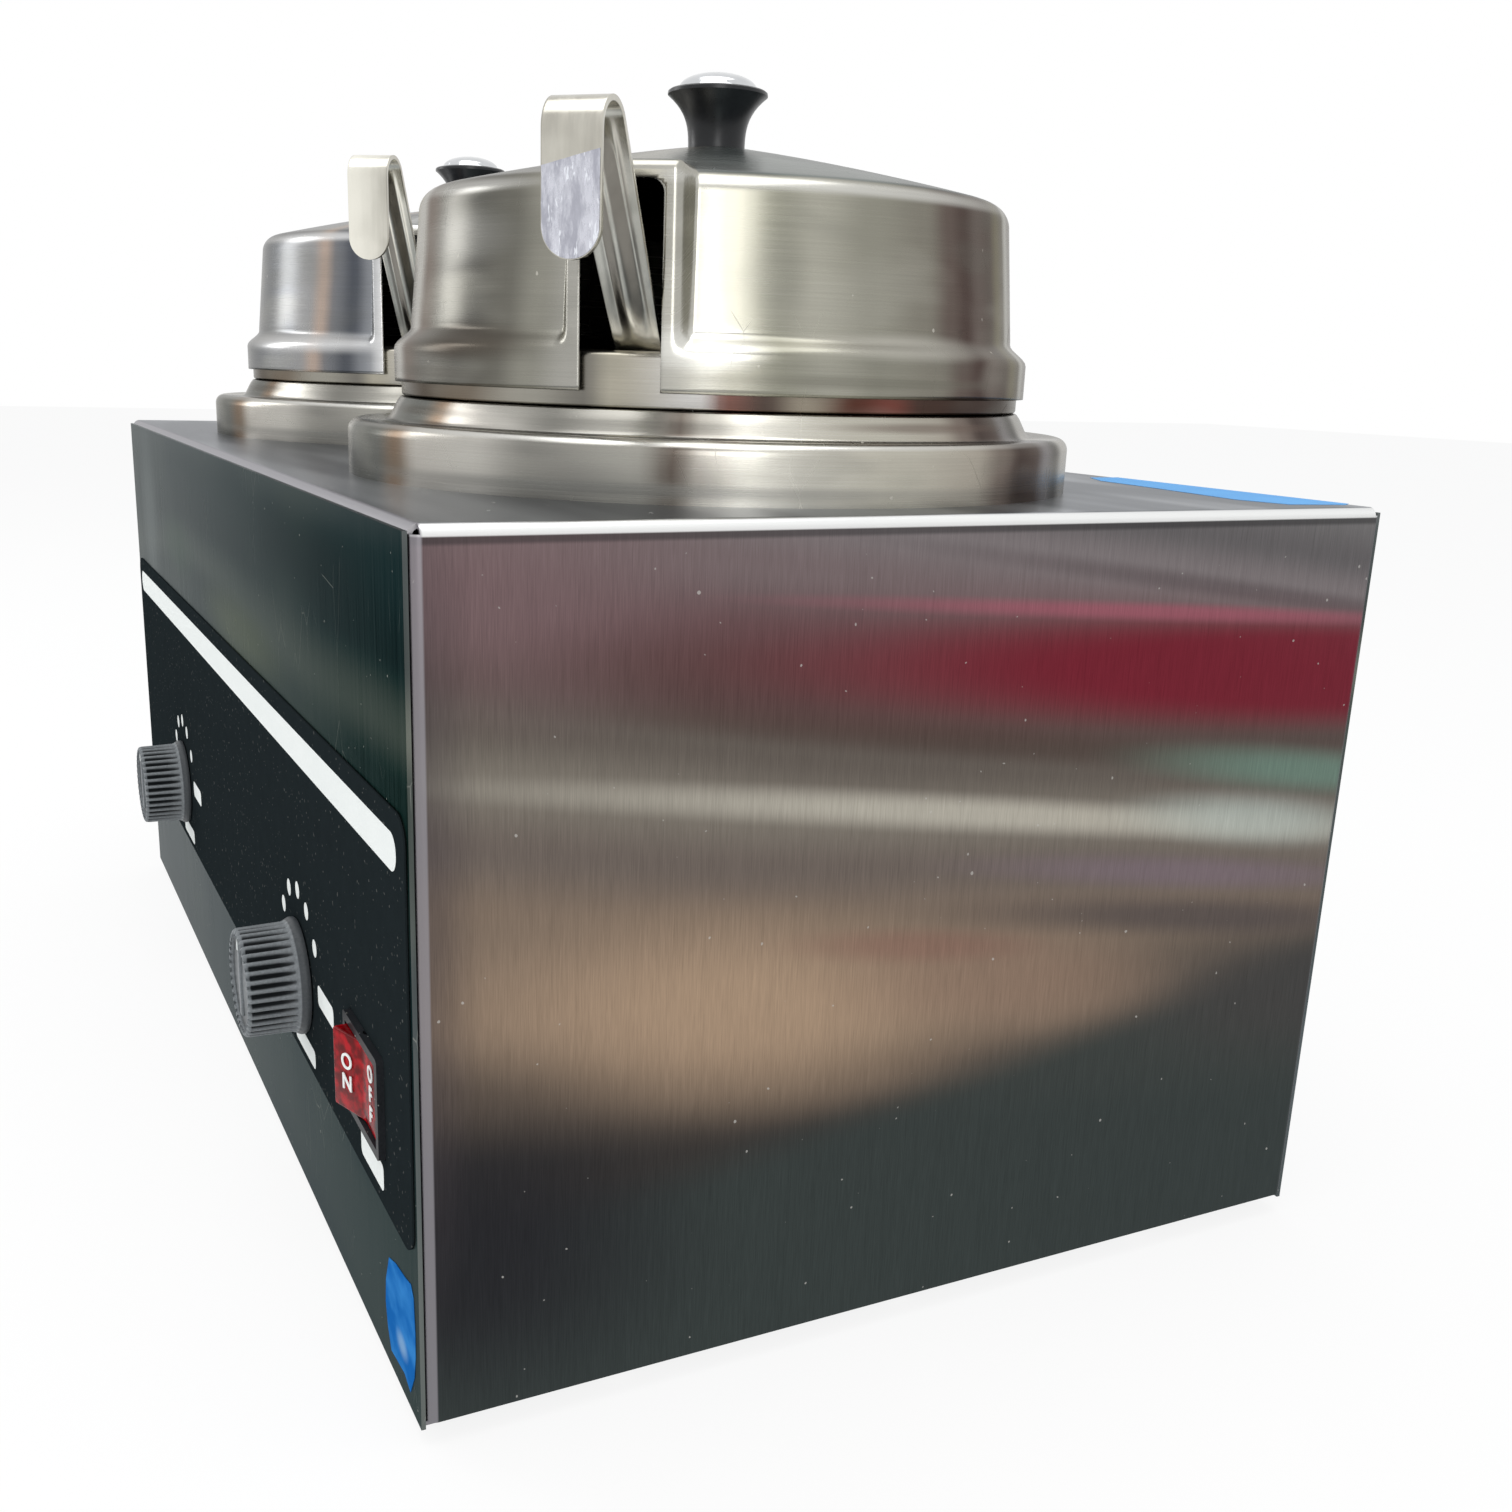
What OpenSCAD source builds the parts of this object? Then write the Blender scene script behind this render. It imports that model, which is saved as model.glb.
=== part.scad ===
// Twin countertop topping warmer. A folded steel casing carries two water wells. Each well holds a
// lift-out inset under a notched lid, with a hooked ladle leaning in it. A dial sets the heat of
// each well and one rocker switches the power.
// The right-hand unit stands at +X, the control panel faces -Y, and Z = 0 is the worktop.

/* [Casing] */
// Room between the two collars
collar_gap = 16.2; // [12:0.1:40]
// Room between a collar and the side wall
side_room = 14.6; // [12:0.1:40]
// Room between a collar and the front panel
front_room = 19.1; // [16:0.1:30]
// Room between a collar and the rear panel
rear_room = 39.1; // [36:0.1:60]
// Room under the wells for the heaters and the wiring
heater_room = 35.6; // [30:0.1:50]
// Thickness of the casing sheet
sheet = 1; // [0.8:0.1:1.4]
// Outer radius of the folded edges
bend_r = 2.5; // [2:0.1:3]
// Width of the flanges folded behind the front and rear panels
flange_w = 14; // [12:0.5:16]
// Distance of the panel edges from the outer faces of the casing
panel_margin = 1.4; // [1:0.1:2]
// How far the front panel reaches below the side walls
panel_drop = 2; // [1:0.1:3]
// Height of the casing above the worktop
stand_h = 6; // [5:0.5:9]
// Side of the square relief at each top corner
corner_relief = 2; // [1.5:0.1:2.4]

/* [Wells] */
// Gap between an inset and the wall of its water well
well_gap = 3.6; // [3:0.1:5]
// Thickness of the well sheet
well_sheet = 0.8; // [0.6:0.1:1]
// Depth of the well floor below the inset
water_gap = 8; // [6:0.5:9]
// Radius of the rounded floor corner of a well
well_corner_r = 10; // [6:0.5:12]
// Reach of the well flange over the casing top
well_flange = 10.5; // [8:0.5:11]

/* [Collars] */
// Width of the collar shoulder outside the neck
shoulder_w = 11.1; // [10.5:0.1:14]
// Height of the collar shoulder above the casing top
collar_shoulder_h = 13.5; // [12:0.1:14]
// Radius of the collar shoulder
collar_shoulder_r = 3; // [2:0.1:4]
// How far the neck spreads from its lip down to the shoulder
neck_spread = 2.6; // [2.2:0.1:4]
// Height of the collar lip above the casing top
lip_h = 19.1; // [18:0.1:20]
// Thickness of the collar sheet
collar_sheet = 1; // [0.8:0.1:1]

/* [Insets] */
// Outer radius of the inset wall
inset_r = 78.4; // [70:0.1:90]
// How far the band at the top of the inset stands out from its wall
band_out = 2.6; // [2.4:0.1:3]
// Thickness of the inset sheet
inset_sheet = 0.8; // [0.6:0.1:1]
// Height of the inset from its floor to its rim
inset_h = 178; // [160:1:200]
// Height of the band from its step to the rim
band_h = 12.2; // [11.8:0.1:12.4]
// Radius of the rolled rim
rim_bead_r = 1.9; // [1.5:0.05:2]
// Radius of the rounded floor corner of an inset
inset_corner_r = 9; // [5:0.5:12]

/* [Lids] */
// How far the lid flange stands outside the band of the inset
lid_over = 1.7; // [1.6:0.1:3]
// Height of the lid flange
lid_flange_h = 8.1; // [7:0.1:9]
// Height of the lid flange above the inset step
lid_lift = 3.4; // [3.2:0.1:3.6]
// Width of the step from the flange in to the lid wall
flare_in = 4.4; // [4:0.1:5]
// Height of the step from the flange to the lid wall
flare_h = 5.9; // [5:0.1:7]
// How far the lid wall at its shoulder lies inside the flange
lid_draw = 6.9; // [5.8:0.1:9]
// Height of the lid wall from the flange bottom to its shoulder
lid_wall_h = 41; // [38:0.5:44]
// Radius of the lid shoulder
lid_shoulder_r = 5.4; // [4:0.1:7]
// Slope of the lid top at its shoulder in degrees
dome_slope = 13.7; // [11:0.1:15]
// Height of the lid from the flange bottom to its crown
lid_h = 59.2; // [58:0.1:60]
// Thickness of the lid sheet
lid_sheet = 0.8; // [0.6:0.1:1]
// Width of the ladle notch in a lid
notch_w = 18.6; // [18:0.1:21]
// Height of the ladle notch above the flange bottom
notch_h = 43.7; // [42:0.1:44]
// Width of the raised border round the notch
border_w = 3; // [2:0.1:5]
// Direction of the right-hand notch in degrees from +X
notch_turn_right = -40; // [-41:0.5:-39]
// Direction of the left-hand notch in degrees from +X
notch_turn_left = -32; // [-33:0.5:-31]

/* [Lid knobs] */
// Radius of a lid knob at its foot
lid_knob_foot_r = 7.3; // [6:0.1:8]
// Radius of a lid knob at its rim
lid_knob_r = 12.8; // [11:0.1:15]
// Height of a lid knob up to its rim
lid_knob_h = 13.5; // [12:0.1:16]
// Radius of the chrome cap on a lid knob
knob_cap_r = 9.9; // [8:0.1:10.5]
// Height of the chrome cap above the knob
knob_cap_h = 4.2; // [3:0.1:6]

/* [Ladles] */
// Length of a ladle handle from the middle of the bowl to the hook
handle_len = 247; // [244:1:258]
// Thickness of the ladle sheet
ladle_sheet = 1.2; // [1:0.1:1.4]
// Width of the handle at the hook
hook_w = 12.6; // [12:0.1:13]
// Width of the handle at the inset rim
handle_w = 10.8; // [9:0.1:11.2]
// Outer radius of the hook bend
hook_r = 6.6; // [6:0.1:8]
// Length of the straight leg of the hook with its round tip
hook_leg = 24; // [18:0.5:28]
// Outer radius of the ladle bowl
bowl_r = 23; // [20:0.5:24]
// Radius of the stiffening rib on the handle
rib_r = 1.1; // [0.8:0.05:1.15]
// Sideways place of the handle from the middle of the inset
ladle_offset = 8.5; // [8:0.1:9]
// Direction in which the right-hand handle leans in degrees from +X
ladle_turn_right = -44.4; // [-45:0.1:-44]
// Direction in which the left-hand handle leans in degrees from +X
ladle_turn_left = -37.4; // [-38:0.1:-37]
// Lean of the right-hand handle from upright in degrees
ladle_lean_right = 32; // [30:0.5:33]
// Lean of the left-hand handle from upright in degrees
ladle_lean_left = 28.5; // [27:0.5:33]

/* [Control panel] */
// Height of the dials above the casing bottom
dial_z = 61.5; // [60:0.5:66]
// Distance of the dial face from the front panel
knob_stand = 16.5; // [15:0.5:20]
// Radius of the dial grip
grip_r = 14.3; // [13.5:0.1:16]
// Radius of the dial skirt
skirt_r = 15.5; // [15.2:0.1:18]
// Number of flutes round a dial grip
flutes = 36; // [24:1:40]
// Distance of the power switch from the right-hand side wall
switch_in = 39.3; // [36:0.1:44]
// Width of the switch bezel
bezel_w = 30.5; // [30:0.1:32]
// Height of the switch bezel
bezel_h = 24; // [23.6:0.1:26]
// Angle between the two positions of the rocker in degrees
rocker_travel = 18; // [14:1:20]
// Lower edge of the graphic film above the casing bottom
film_z0 = 38; // [34:0.5:40]
// Upper edge of the graphic film above the casing bottom
film_z1 = 133.6; // [130:0.1:140]
// Distance of the film from the outer faces of the casing
film_margin = 3.6; // [3:0.1:6]
// Thickness of the graphic film
film_t = 0.4; // [0.3:0.05:0.5]
// Corner radius of the graphic film
film_corner_r = 6; // [4:0.5:10]

/* [Cord entry] */
// Bore radius of the cord bushing
cord_bore_r = 4.6; // [4:0.1:5]
// How far the cord bushing stands out of the rear panel
bushing_stand = 4; // [3:0.1:6]
// Height of the cord bushing above the casing bottom
bushing_z = 28; // [26:1:40]
// Distance of the cord bushing from the left-hand side wall
bushing_in = 60; // [50:1:80]

/* [Hidden] */
$fn = 96;
over = 2;
run_gap = 0.05;
seat_gap = 0.3;
right = 1;
left = -1;

// Radii, from the inset out
lip_clear = 0.2;
well_r = inset_r + well_gap;
band_r = inset_r + band_out;
lip_r = band_r + lip_clear;
neck_r = lip_r + neck_spread;
collar_r = neck_r + shoulder_w;
lid_r = band_r + lid_over;
lid_top_r = lid_r - lid_draw;

// Inset and lid heights, measured from the casing top
step_z = lip_h + seat_gap;
rim_z = step_z + band_h;
inset_floor_z = rim_z - inset_h;
well_floor_z = inset_floor_z - water_gap;
lid_z = step_z + lid_lift;

// The casing is as large as its two wells and the rooms round them need
body_w = collar_r*4 + collar_gap + side_room*2;
body_d = collar_r*2 + front_room + rear_room;
body_h = heater_room - well_floor_z;

// Main planes
base_z = stand_h;
top_z = base_z + body_h;
half_w = body_w/2;
front_y = knob_stand - (body_d + knob_stand + bushing_stand)/2;
rear_y = front_y + body_d;
unit_x = collar_r + collar_gap/2;
unit_y = front_y + front_room + collar_r;
wrap_front = front_y + sheet;
wrap_rear = rear_y - sheet;
pan_z = base_z - sheet;

// Details of wells, insets and lids
well_out_r = well_r + well_sheet;
bead_mid_r = band_r - rim_bead_r;
inset_in_r = inset_r - inset_sheet;
inset_clear = 0.8;
vent_turn = -18;
steam_vent_w = 3.6;
steam_vent_h = 1.6;
screw_seat = 0.1;
knob_seat = 0.7;
knob_screw_share = 0.7;
knob_bore_share = 0.75;
flare_shares = [[0, 0], [0.32, 0.22], [0.77, 0.49], [1, 1]];
shelf_share = 1/3;
knob_curve = 3.5;
knob_steps = 10;
dome_steps = 6;
knob_lip_h = 0.9;
knob_lip_in = 0.45;
notch_corner_r = 3;
border_top = 3.5;

// Fasteners: radii and heights
stud_r = 2;
stud_len = 7;
nut_r = 4;
nut_h = 3.2;
head_r = 3.6;
head_h = 2;
screw_r = 1.9;
hex = 6;
fix_in = flange_w/2 + sheet/2;
fix_rise = 24;
panel_fix_z = [base_z + fix_rise, base_z + body_h/2, top_z - fix_rise];
pan_fix_in = 48;
pan_fix_y = [front_y + pan_fix_in, front_y + body_d/2, rear_y - pan_fix_in];

// Feet
foot_r = 10;
foot_taper = 1.5;
foot_in_x = 42;
foot_in_y = 36;
foot_recess_r = 4.6;
foot_recess_h = 2.6;
foot_x = half_w - foot_in_x;
foot_ys = [front_y + foot_in_y, rear_y - foot_in_y];

// Ladles
handle_foot_share = 0.85;
rib_from = 6;
rib_to = 3;
bowl_rim_h = 5;
bowl_weld = 0.6;

// Panel vents
slot_w = 4;
slot_h = 44;
slot_pitch = 10;
slot_count = 7;
slot_rise_share = 0.62;
slot_z = base_z + body_h*slot_rise_share;
vent_r = 3;
vent_pitch = 12;
vent_rows = 3;

// Heater: a tubular ring held to the well floor by a bar, a stud and a nut
tube_r = 4;
ring_r = 55;
ring_sweep = 316;
tail_h = 9;
pin_r = 1.4;
pin_h = 5;
sleeve_share = 0.7;
sleeve_over_share = 1.15;
bar_w = 20;
bar_t = 2.5;
bar_over = 6;
heater_stud_r = 3;
heater_stud_len = 17;
heater_nut_r = 6;
heater_nut_h = 4.5;
ring_z = top_z + well_floor_z - well_sheet - tube_r;
bar_z = ring_z - tube_r - bar_t;

// Insulation blanket round a well
blanket_t = 8;
blanket_open = 76;
blanket_low = 6;
blanket_drop = 4;

// Thermostat
stat_w = 36;
stat_h = 33;
stat_d = 20;
collet_r = 5;
collet_out = 3.6;
collet_nut_r = 8;
collet_nut_h = 2.4;
shaft_r = 3;
shaft_out = 13;
shaft_in = 12;
shaft_flat = 0.6;
dial_abs_z = base_z + dial_z;
dial_gap = 0.8;
skirt_t = 3;
skirt_top_over = 0.4;
knob_hollow_r = 11;
knob_hollow_t = 5.4;
flute_r = 0.62;
flute_share = 0.35;
face_rim = 1.6;
face_sink = 0.5;
pointer_w = 1.2;

// Capillary bulb on the well wall, with its clip
bulb_r = 3;
bulb_len = 60;
bulb_turn = 28;
bulb_lift = 26;
capillary_r = 0.9;
capillary_rise = 8;
bulb_off = 0.6;
clip_t = 1.2;
clip_w = 11;
clip_h = 10;

// Power switch
switch_x = half_w - switch_in;
switch_z = base_z + dial_z + 1;
bezel_t = 2;
bezel_round = 1.2;
bezel_lap = 0.95;
housing_d = 24;
housing_wall = 1.1;
cavity_d = 6;
rocker_gap = 0.35;
pivot_in = 0.5;
rocker_end_h = 3.8;
rocker_mid_h = 1.6;
rocker_foot = 2.5;
trunnion_r = 1.5;
lamp_r = 1.6;
lamp_len = 9;
tab_w = 6.3;
tab_t = 0.8;
tab_len = 8;
tab_pitch = 9;
tab_shift = 1;
cavity_half_w = bezel_w/2 - bezel_lap - housing_wall;
cavity_half_h = bezel_h/2 - bezel_lap - housing_wall;

// Cord bushing, terminal block and earth stud
bushing_flange_r = 9;
bushing_body_r = 7.5;
bushing_in_len = 7;
bushing_x = bushing_in - half_w;
earth_off = 30;
block_w = 48;
block_d = 20;
block_h = 15;
block_wall_gap = 14;
block_poles = 4;
block_screw_r = 2.4;
block_y = wrap_rear - block_wall_gap - block_d;
earth_x = bushing_x + earth_off;
earth_h = 12;

// Wiring lies on the pan floor and rises to what it feeds
wire_r = 1.1;
lead_r = 1.6;
wire_step = 5;
wire_z = base_z + wire_r + run_gap;
wire_lane_y = front_y + housing_d + tab_len + wire_step*2;
wire_rise_y = front_y + housing_d + tab_len + wire_r + run_gap;

function arc_points(centre, radius, from, to, steps) =
    [for (i = [0:steps]) centre + radius*[for (f = [0, 90]) cos(from + (to - from)*i/steps - f)]];

module at_unit(side) {
    translate([side*unit_x, unit_y, top_z]) children();
}

// A flat shape in X and Z becomes a plate that runs back from the plane y
module plate_y(y, thick) {
    translate([0, y + thick, 0]) rotate([90, 0, 0]) linear_extrude(thick) children();
}

// A rectangle with round corners, its lower left corner at the origin
module round_rect(w, h, r) {
    translate([r, 0]) square([w - r*2, h]);
    translate([0, r]) square([w, h - r*2]);
    for (x = [r, w - r], y = [r, h - r]) translate([x, y]) circle(r);
}

module block_centred(w, h, r) {
    translate([-w/2, -h/2]) round_rect(w, h, r);
}

// The folded box shape of the casing, drawn in by the given thickness
module casing_form(inset) {
    w = body_w - inset*2;
    r = bend_r - inset;
    low = base_z + inset;
    high = top_z - inset;
    near = wrap_front + inset;
    deep = wrap_rear - wrap_front - inset*2;
    intersection() {
        translate([0, near + deep, 0]) rotate([90, 0, 0]) linear_extrude(deep) {
            translate([-w/2, low]) square([w, (high - low)/2]);
            translate([-w/2, low]) round_rect(w, high - low, r);
        }
        translate([-w/2, near, low]) linear_extrude(high - low) round_rect(w, deep, r);
        translate([-w/2, 0, 0]) rotate([90, 0, 90]) linear_extrude(w) {
            translate([near, low]) square([deep, (high - low)/2]);
            translate([near, low]) round_rect(deep, high - low, r);
        }
    }
}

module body_wrap() color("silver") difference() {
    casing_form(0);
    casing_form(sheet);
    // The front, the rear and the underside are open inside their flanges
    translate([flange_w - half_w, wrap_front - over, base_z - over])
        cube([body_w - flange_w*2, body_d + over*2, body_h - flange_w + over]);
    for (side = [right, left]) at_unit(side)
        translate([0, 0, -sheet - over]) cylinder(h = sheet + over*2, r = well_out_r + seat_gap);
    for (x = [-half_w, half_w], y = [wrap_front, wrap_rear])
        translate([x, y, top_z]) cube(corner_relief*2, center = true);
    for (side = [right, left], z = panel_fix_z, y = [wrap_front, wrap_rear])
        translate([side*(half_w - fix_in), y, z]) rotate([90, 0, 0])
            cylinder(h = over*2, r = stud_r + seat_gap, center = true);
    for (side = [right, left], y = pan_fix_y)
        translate([side*(half_w - fix_in), y, base_z])
            cylinder(h = over*2, r = screw_r + seat_gap, center = true);
}

module front_panel() color("gainsboro") {
    difference() {
        plate_y(front_y, sheet)
            translate([panel_margin - half_w, base_z - panel_drop])
                square([body_w - panel_margin*2, body_h + panel_drop - panel_margin]);
        for (side = [right, left])
            translate([side*unit_x, front_y, dial_abs_z]) rotate([90, 0, 0])
                cylinder(h = over*2, r = collet_r + seat_gap, center = true);
        switch_cut();
    }
    for (side = [right, left], z = panel_fix_z)
        translate([side*(half_w - fix_in), wrap_front + stud_len, z]) rotate([90, 0, 0])
            cylinder(h = stud_len, r = stud_r);
}

module switch_cut() {
    translate([0, front_y - over, 0]) plate_y(0, over*2 + sheet)
        translate([switch_x, switch_z])
            block_centred(bezel_w - bezel_lap*2 + seat_gap, bezel_h - bezel_lap*2 + seat_gap,
                bezel_round);
}

module control_film() color("#181a1c") difference() {
    plate_y(front_y - film_t, film_t)
        translate([film_margin - half_w, base_z + film_z0])
            round_rect(body_w - film_margin*2, film_z1 - film_z0, film_corner_r);
    for (side = [right, left])
        translate([side*unit_x, front_y, dial_abs_z]) rotate([90, 0, 0])
            cylinder(h = over*2, r = collet_nut_r + seat_gap, center = true);
    translate([0, front_y - over, 0]) plate_y(0, over*2)
        translate([switch_x, switch_z]) block_centred(bezel_w + seat_gap, bezel_h + seat_gap,
            bezel_round);
}

module rear_panel() color("gainsboro") difference() {
    plate_y(wrap_rear, sheet)
        translate([panel_margin - half_w, base_z - panel_drop])
            square([body_w - panel_margin*2, body_h + panel_drop - panel_margin]);
    for (side = [right, left], z = panel_fix_z)
        translate([side*(half_w - fix_in), wrap_rear, z]) rotate([90, 0, 0])
            cylinder(h = over*2, r = screw_r + run_gap, center = true);
    for (side = [right, left], i = [0:slot_count - 1])
        plate_y(wrap_rear - over, over*2 + sheet)
            translate([side*unit_x + (i - (slot_count - 1)/2)*slot_pitch, slot_z])
                block_centred(slot_w, slot_h, slot_w/2 - run_gap);
    translate([bushing_x, wrap_rear, base_z + bushing_z]) rotate([90, 0, 0])
        cylinder(h = over*2, r = bushing_body_r + run_gap, center = true);
    translate([earth_x, wrap_rear, base_z + bushing_z]) rotate([90, 0, 0])
        cylinder(h = over*2, r = stud_r + run_gap, center = true);
}

module bottom_pan() color("lightgray") difference() {
    translate([panel_margin - half_w, wrap_front, pan_z])
        cube([body_w - panel_margin*2, wrap_rear - wrap_front, sheet]);
    for (side = [right, left], y = pan_fix_y)
        translate([side*(half_w - fix_in), y, base_z])
            cylinder(h = over*2, r = screw_r + run_gap, center = true);
    for (side = [right, left], y = foot_ys)
        translate([side*foot_x, y, base_z])
            cylinder(h = over*2, r = screw_r + run_gap, center = true);
    // Air holes under each heater
    for (side = [right, left], i = [-vent_rows:vent_rows], j = [-1, 1])
        translate([side*unit_x + i*vent_pitch, unit_y + j*vent_pitch, base_z])
            cylinder(h = over*2, r = vent_r, center = true);
}

module rubber_feet() color("#222222") for (side = [right, left], y = foot_ys)
    translate([side*foot_x, y, 0]) difference() {
        cylinder(h = pan_z, r1 = foot_r - foot_taper, r2 = foot_r);
        translate([0, 0, -over]) cylinder(h = foot_recess_h + over, r = foot_recess_r);
        cylinder(h = pan_z*2, r = screw_r + run_gap);
    }

module foot_screws() color("silver") for (side = [right, left], y = foot_ys)
    translate([side*foot_x, y, foot_recess_h - head_h]) {
        cylinder(h = head_h, r = head_r);
        cylinder(h = pan_z + sheet + nut_h + head_h - foot_recess_h, r = screw_r);
        translate([0, 0, pan_z + sheet + head_h - foot_recess_h])
            cylinder(h = nut_h, r = nut_r, $fn = hex);
    }

module front_nuts() color("silver") for (side = [right, left], z = panel_fix_z)
    translate([side*(half_w - fix_in), wrap_front + sheet + nut_h, z]) rotate([90, 0, 0])
        difference() {
            cylinder(h = nut_h, r = nut_r, $fn = hex);
            translate([0, 0, -over]) cylinder(h = nut_h + over*2, r = stud_r + run_gap);
        }

module rear_screws() color("silver") for (side = [right, left], z = panel_fix_z)
    translate([side*(half_w - fix_in), rear_y, z]) rotate([90, 0, 0]) {
        translate([0, 0, -head_h]) cylinder(h = head_h, r = head_r);
        cylinder(h = stud_len, r = screw_r);
    }

module bottom_screws() color("silver") for (side = [right, left], y = pan_fix_y)
    translate([side*(half_w - fix_in), y, pan_z - head_h]) {
        cylinder(h = head_h, r = head_r);
        cylinder(h = head_h + stud_len, r = screw_r);
    }

// Half of the section of a collar, drawn in by the sheet thickness
module collar_section(inset) {
    polygon(concat(
        [[0, inset > 0 ? -over : 0], [collar_r - inset, inset > 0 ? -over : 0]],
        arc_points([collar_r - collar_shoulder_r, collar_shoulder_h - collar_shoulder_r],
            collar_shoulder_r - inset, 0, 90, 8),
        [[neck_r + inset, collar_shoulder_h - inset],
         [neck_r - inset, collar_shoulder_h + collar_sheet - inset],
         [lip_r - inset, lip_h - inset], [0, lip_h - inset]]));
}

module collar(side) color("silver") at_unit(side) difference() {
    rotate_extrude() collar_section(0);
    rotate_extrude() collar_section(collar_sheet);
    translate([0, 0, -over]) cylinder(h = lip_h + over*2, r = inset_r + inset_clear);
    // A small steam vent in the neck
    rotate([0, 0, vent_turn]) translate([lip_r, 0, lip_h - steam_vent_h/2 - run_gap])
        cube([neck_r - inset_r, steam_vent_w, steam_vent_h], center = true);
}

// Half of the section of an open vessel with a rounded floor corner
module vessel_section(r, floor_z, high, corner) {
    polygon(concat(
        [[0, high], [0, floor_z]],
        arc_points([r - corner, floor_z + corner], corner, -90, 0, 8),
        [[r, high]]));
}

module water_well(side) color("silver") at_unit(side) {
    difference() {
        union() {
            rotate_extrude() vessel_section(well_out_r, well_floor_z - well_sheet, well_sheet,
                well_corner_r + well_sheet);
            cylinder(h = well_sheet, r = well_r + well_flange);
        }
        rotate_extrude() vessel_section(well_r, well_floor_z, well_sheet + over, well_corner_r);
    }
    translate([0, 0, well_floor_z - well_sheet - heater_stud_len])
        cylinder(h = heater_stud_len, r = heater_stud_r);
}

module insulation(side) color("khaki") at_unit(side)
    rotate([0, 0, blanket_open/2 - 90])
        translate([0, 0, well_floor_z + blanket_low])
            rotate_extrude(angle = 360 - blanket_open)
                translate([well_out_r + seat_gap, 0])
                    square([blanket_t, -well_floor_z - blanket_low - blanket_drop]);

module heater(side) color("dimgray") translate([side*unit_x, unit_y, ring_z]) {
    rotate([0, 0, (360 - ring_sweep)/2 - 90]) rotate_extrude(angle = ring_sweep)
        translate([ring_r, 0]) circle(tube_r);
    for (turn = [-1, 1]) rotate([0, 0, turn*(360 - ring_sweep)/2 - 90]) translate([ring_r, 0, 0]) {
        translate([0, 0, -tail_h]) cylinder(h = tail_h + tube_r*sleeve_share,
            r = tube_r*sleeve_over_share);
        translate([0, 0, -tail_h - pin_h]) cylinder(h = pin_h + over, r = pin_r);
    }
}

module heater_bar(side) color("gray") translate([side*unit_x, unit_y, bar_z]) difference() {
    translate([-ring_r - bar_over, -bar_w/2, 0]) cube([(ring_r + bar_over)*2, bar_w, bar_t]);
    translate([0, 0, -over]) cylinder(h = bar_t + over*2, r = heater_stud_r + run_gap);
}

module heater_nuts() color("silver") for (side = [right, left])
    translate([side*unit_x, unit_y, bar_z - heater_nut_h]) difference() {
        cylinder(h = heater_nut_h, r = heater_nut_r, $fn = hex);
        translate([0, 0, -over]) cylinder(h = heater_nut_h + over*2, r = heater_stud_r + run_gap);
    }

// Things on a dial axis are drawn with their Z axis pointing out of the panel
module on_dial(side) {
    translate([side*unit_x, front_y, dial_abs_z]) rotate([90, 0, 0]) children();
}

module thermostat(side) color("beige") on_dial(side) difference() {
    union() {
        translate([0, 0, -sheet - stat_d]) linear_extrude(stat_d)
            block_centred(stat_w, stat_h, bend_r);
        translate([0, 0, -sheet - run_gap]) cylinder(h = sheet + collet_out, r = collet_r);
    }
    translate([0, 0, -shaft_in - run_gap])
        cylinder(h = shaft_in + collet_out + over, r = shaft_r + run_gap);
}

module thermostat_nuts() color("silver") for (side = [right, left]) on_dial(side) difference() {
    cylinder(h = collet_nut_h, r = collet_nut_r, $fn = hex);
    translate([0, 0, -over]) cylinder(h = collet_nut_h + over*2, r = collet_r + run_gap);
}

module dial_shaft(side) color("silver") on_dial(side) difference() {
    translate([0, 0, -shaft_in]) cylinder(h = shaft_in + shaft_out, r = shaft_r);
    translate([-shaft_r, shaft_r - shaft_flat, collet_out + run_gap])
        cube([shaft_r*2, shaft_r, shaft_out]);
}

module dial_knob(side) color("#2b2d2f") on_dial(side) difference() {
    union() {
        translate([0, 0, dial_gap]) cylinder(h = skirt_t, r1 = skirt_r, r2 = grip_r + skirt_top_over);
        translate([0, 0, dial_gap]) cylinder(h = knob_stand - dial_gap, r = grip_r);
    }
    for (i = [0:flutes - 1]) rotate([0, 0, i*360/flutes])
        translate([grip_r + flute_r*flute_share, 0, dial_gap + skirt_t])
            cylinder(h = knob_stand, r = flute_r, $fn = 24);
    translate([0, 0, knob_stand - face_sink]) cylinder(h = over, r = grip_r - face_rim);
    translate([0, 0, -over]) cylinder(h = dial_gap + knob_hollow_t + over, r = knob_hollow_r);
    difference() {
        cylinder(h = shaft_out + run_gap, r = shaft_r + run_gap);
        translate([-shaft_r, shaft_r - shaft_flat + run_gap, 0])
            cube([shaft_r*2, shaft_r, knob_stand]);
    }
    // The pointer groove
    translate([-pointer_w/2, 0, knob_stand - face_sink*2])
        cube([pointer_w, grip_r - face_rim*2, over]);
}

// A round rod along a list of points
module rod(points, r) {
    for (i = [0:len(points) - 2]) {
        a = points[i];
        d = points[i + 1] - a;
        translate(a) rotate([0, acos(d[2]/norm(d)), atan2(d[1], d[0])])
            cylinder(h = norm(d), r = r, $fn = 24);
    }
    for (i = [1:len(points) - 2]) translate(points[i]) sphere(r, $fn = 24);
}

function bulb_x(side) = side*unit_x + (well_out_r + bulb_r + bulb_off)*cos(-90 - bulb_turn);
function bulb_y() = unit_y + (well_out_r + bulb_r + bulb_off)*sin(-90 - bulb_turn);

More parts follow.
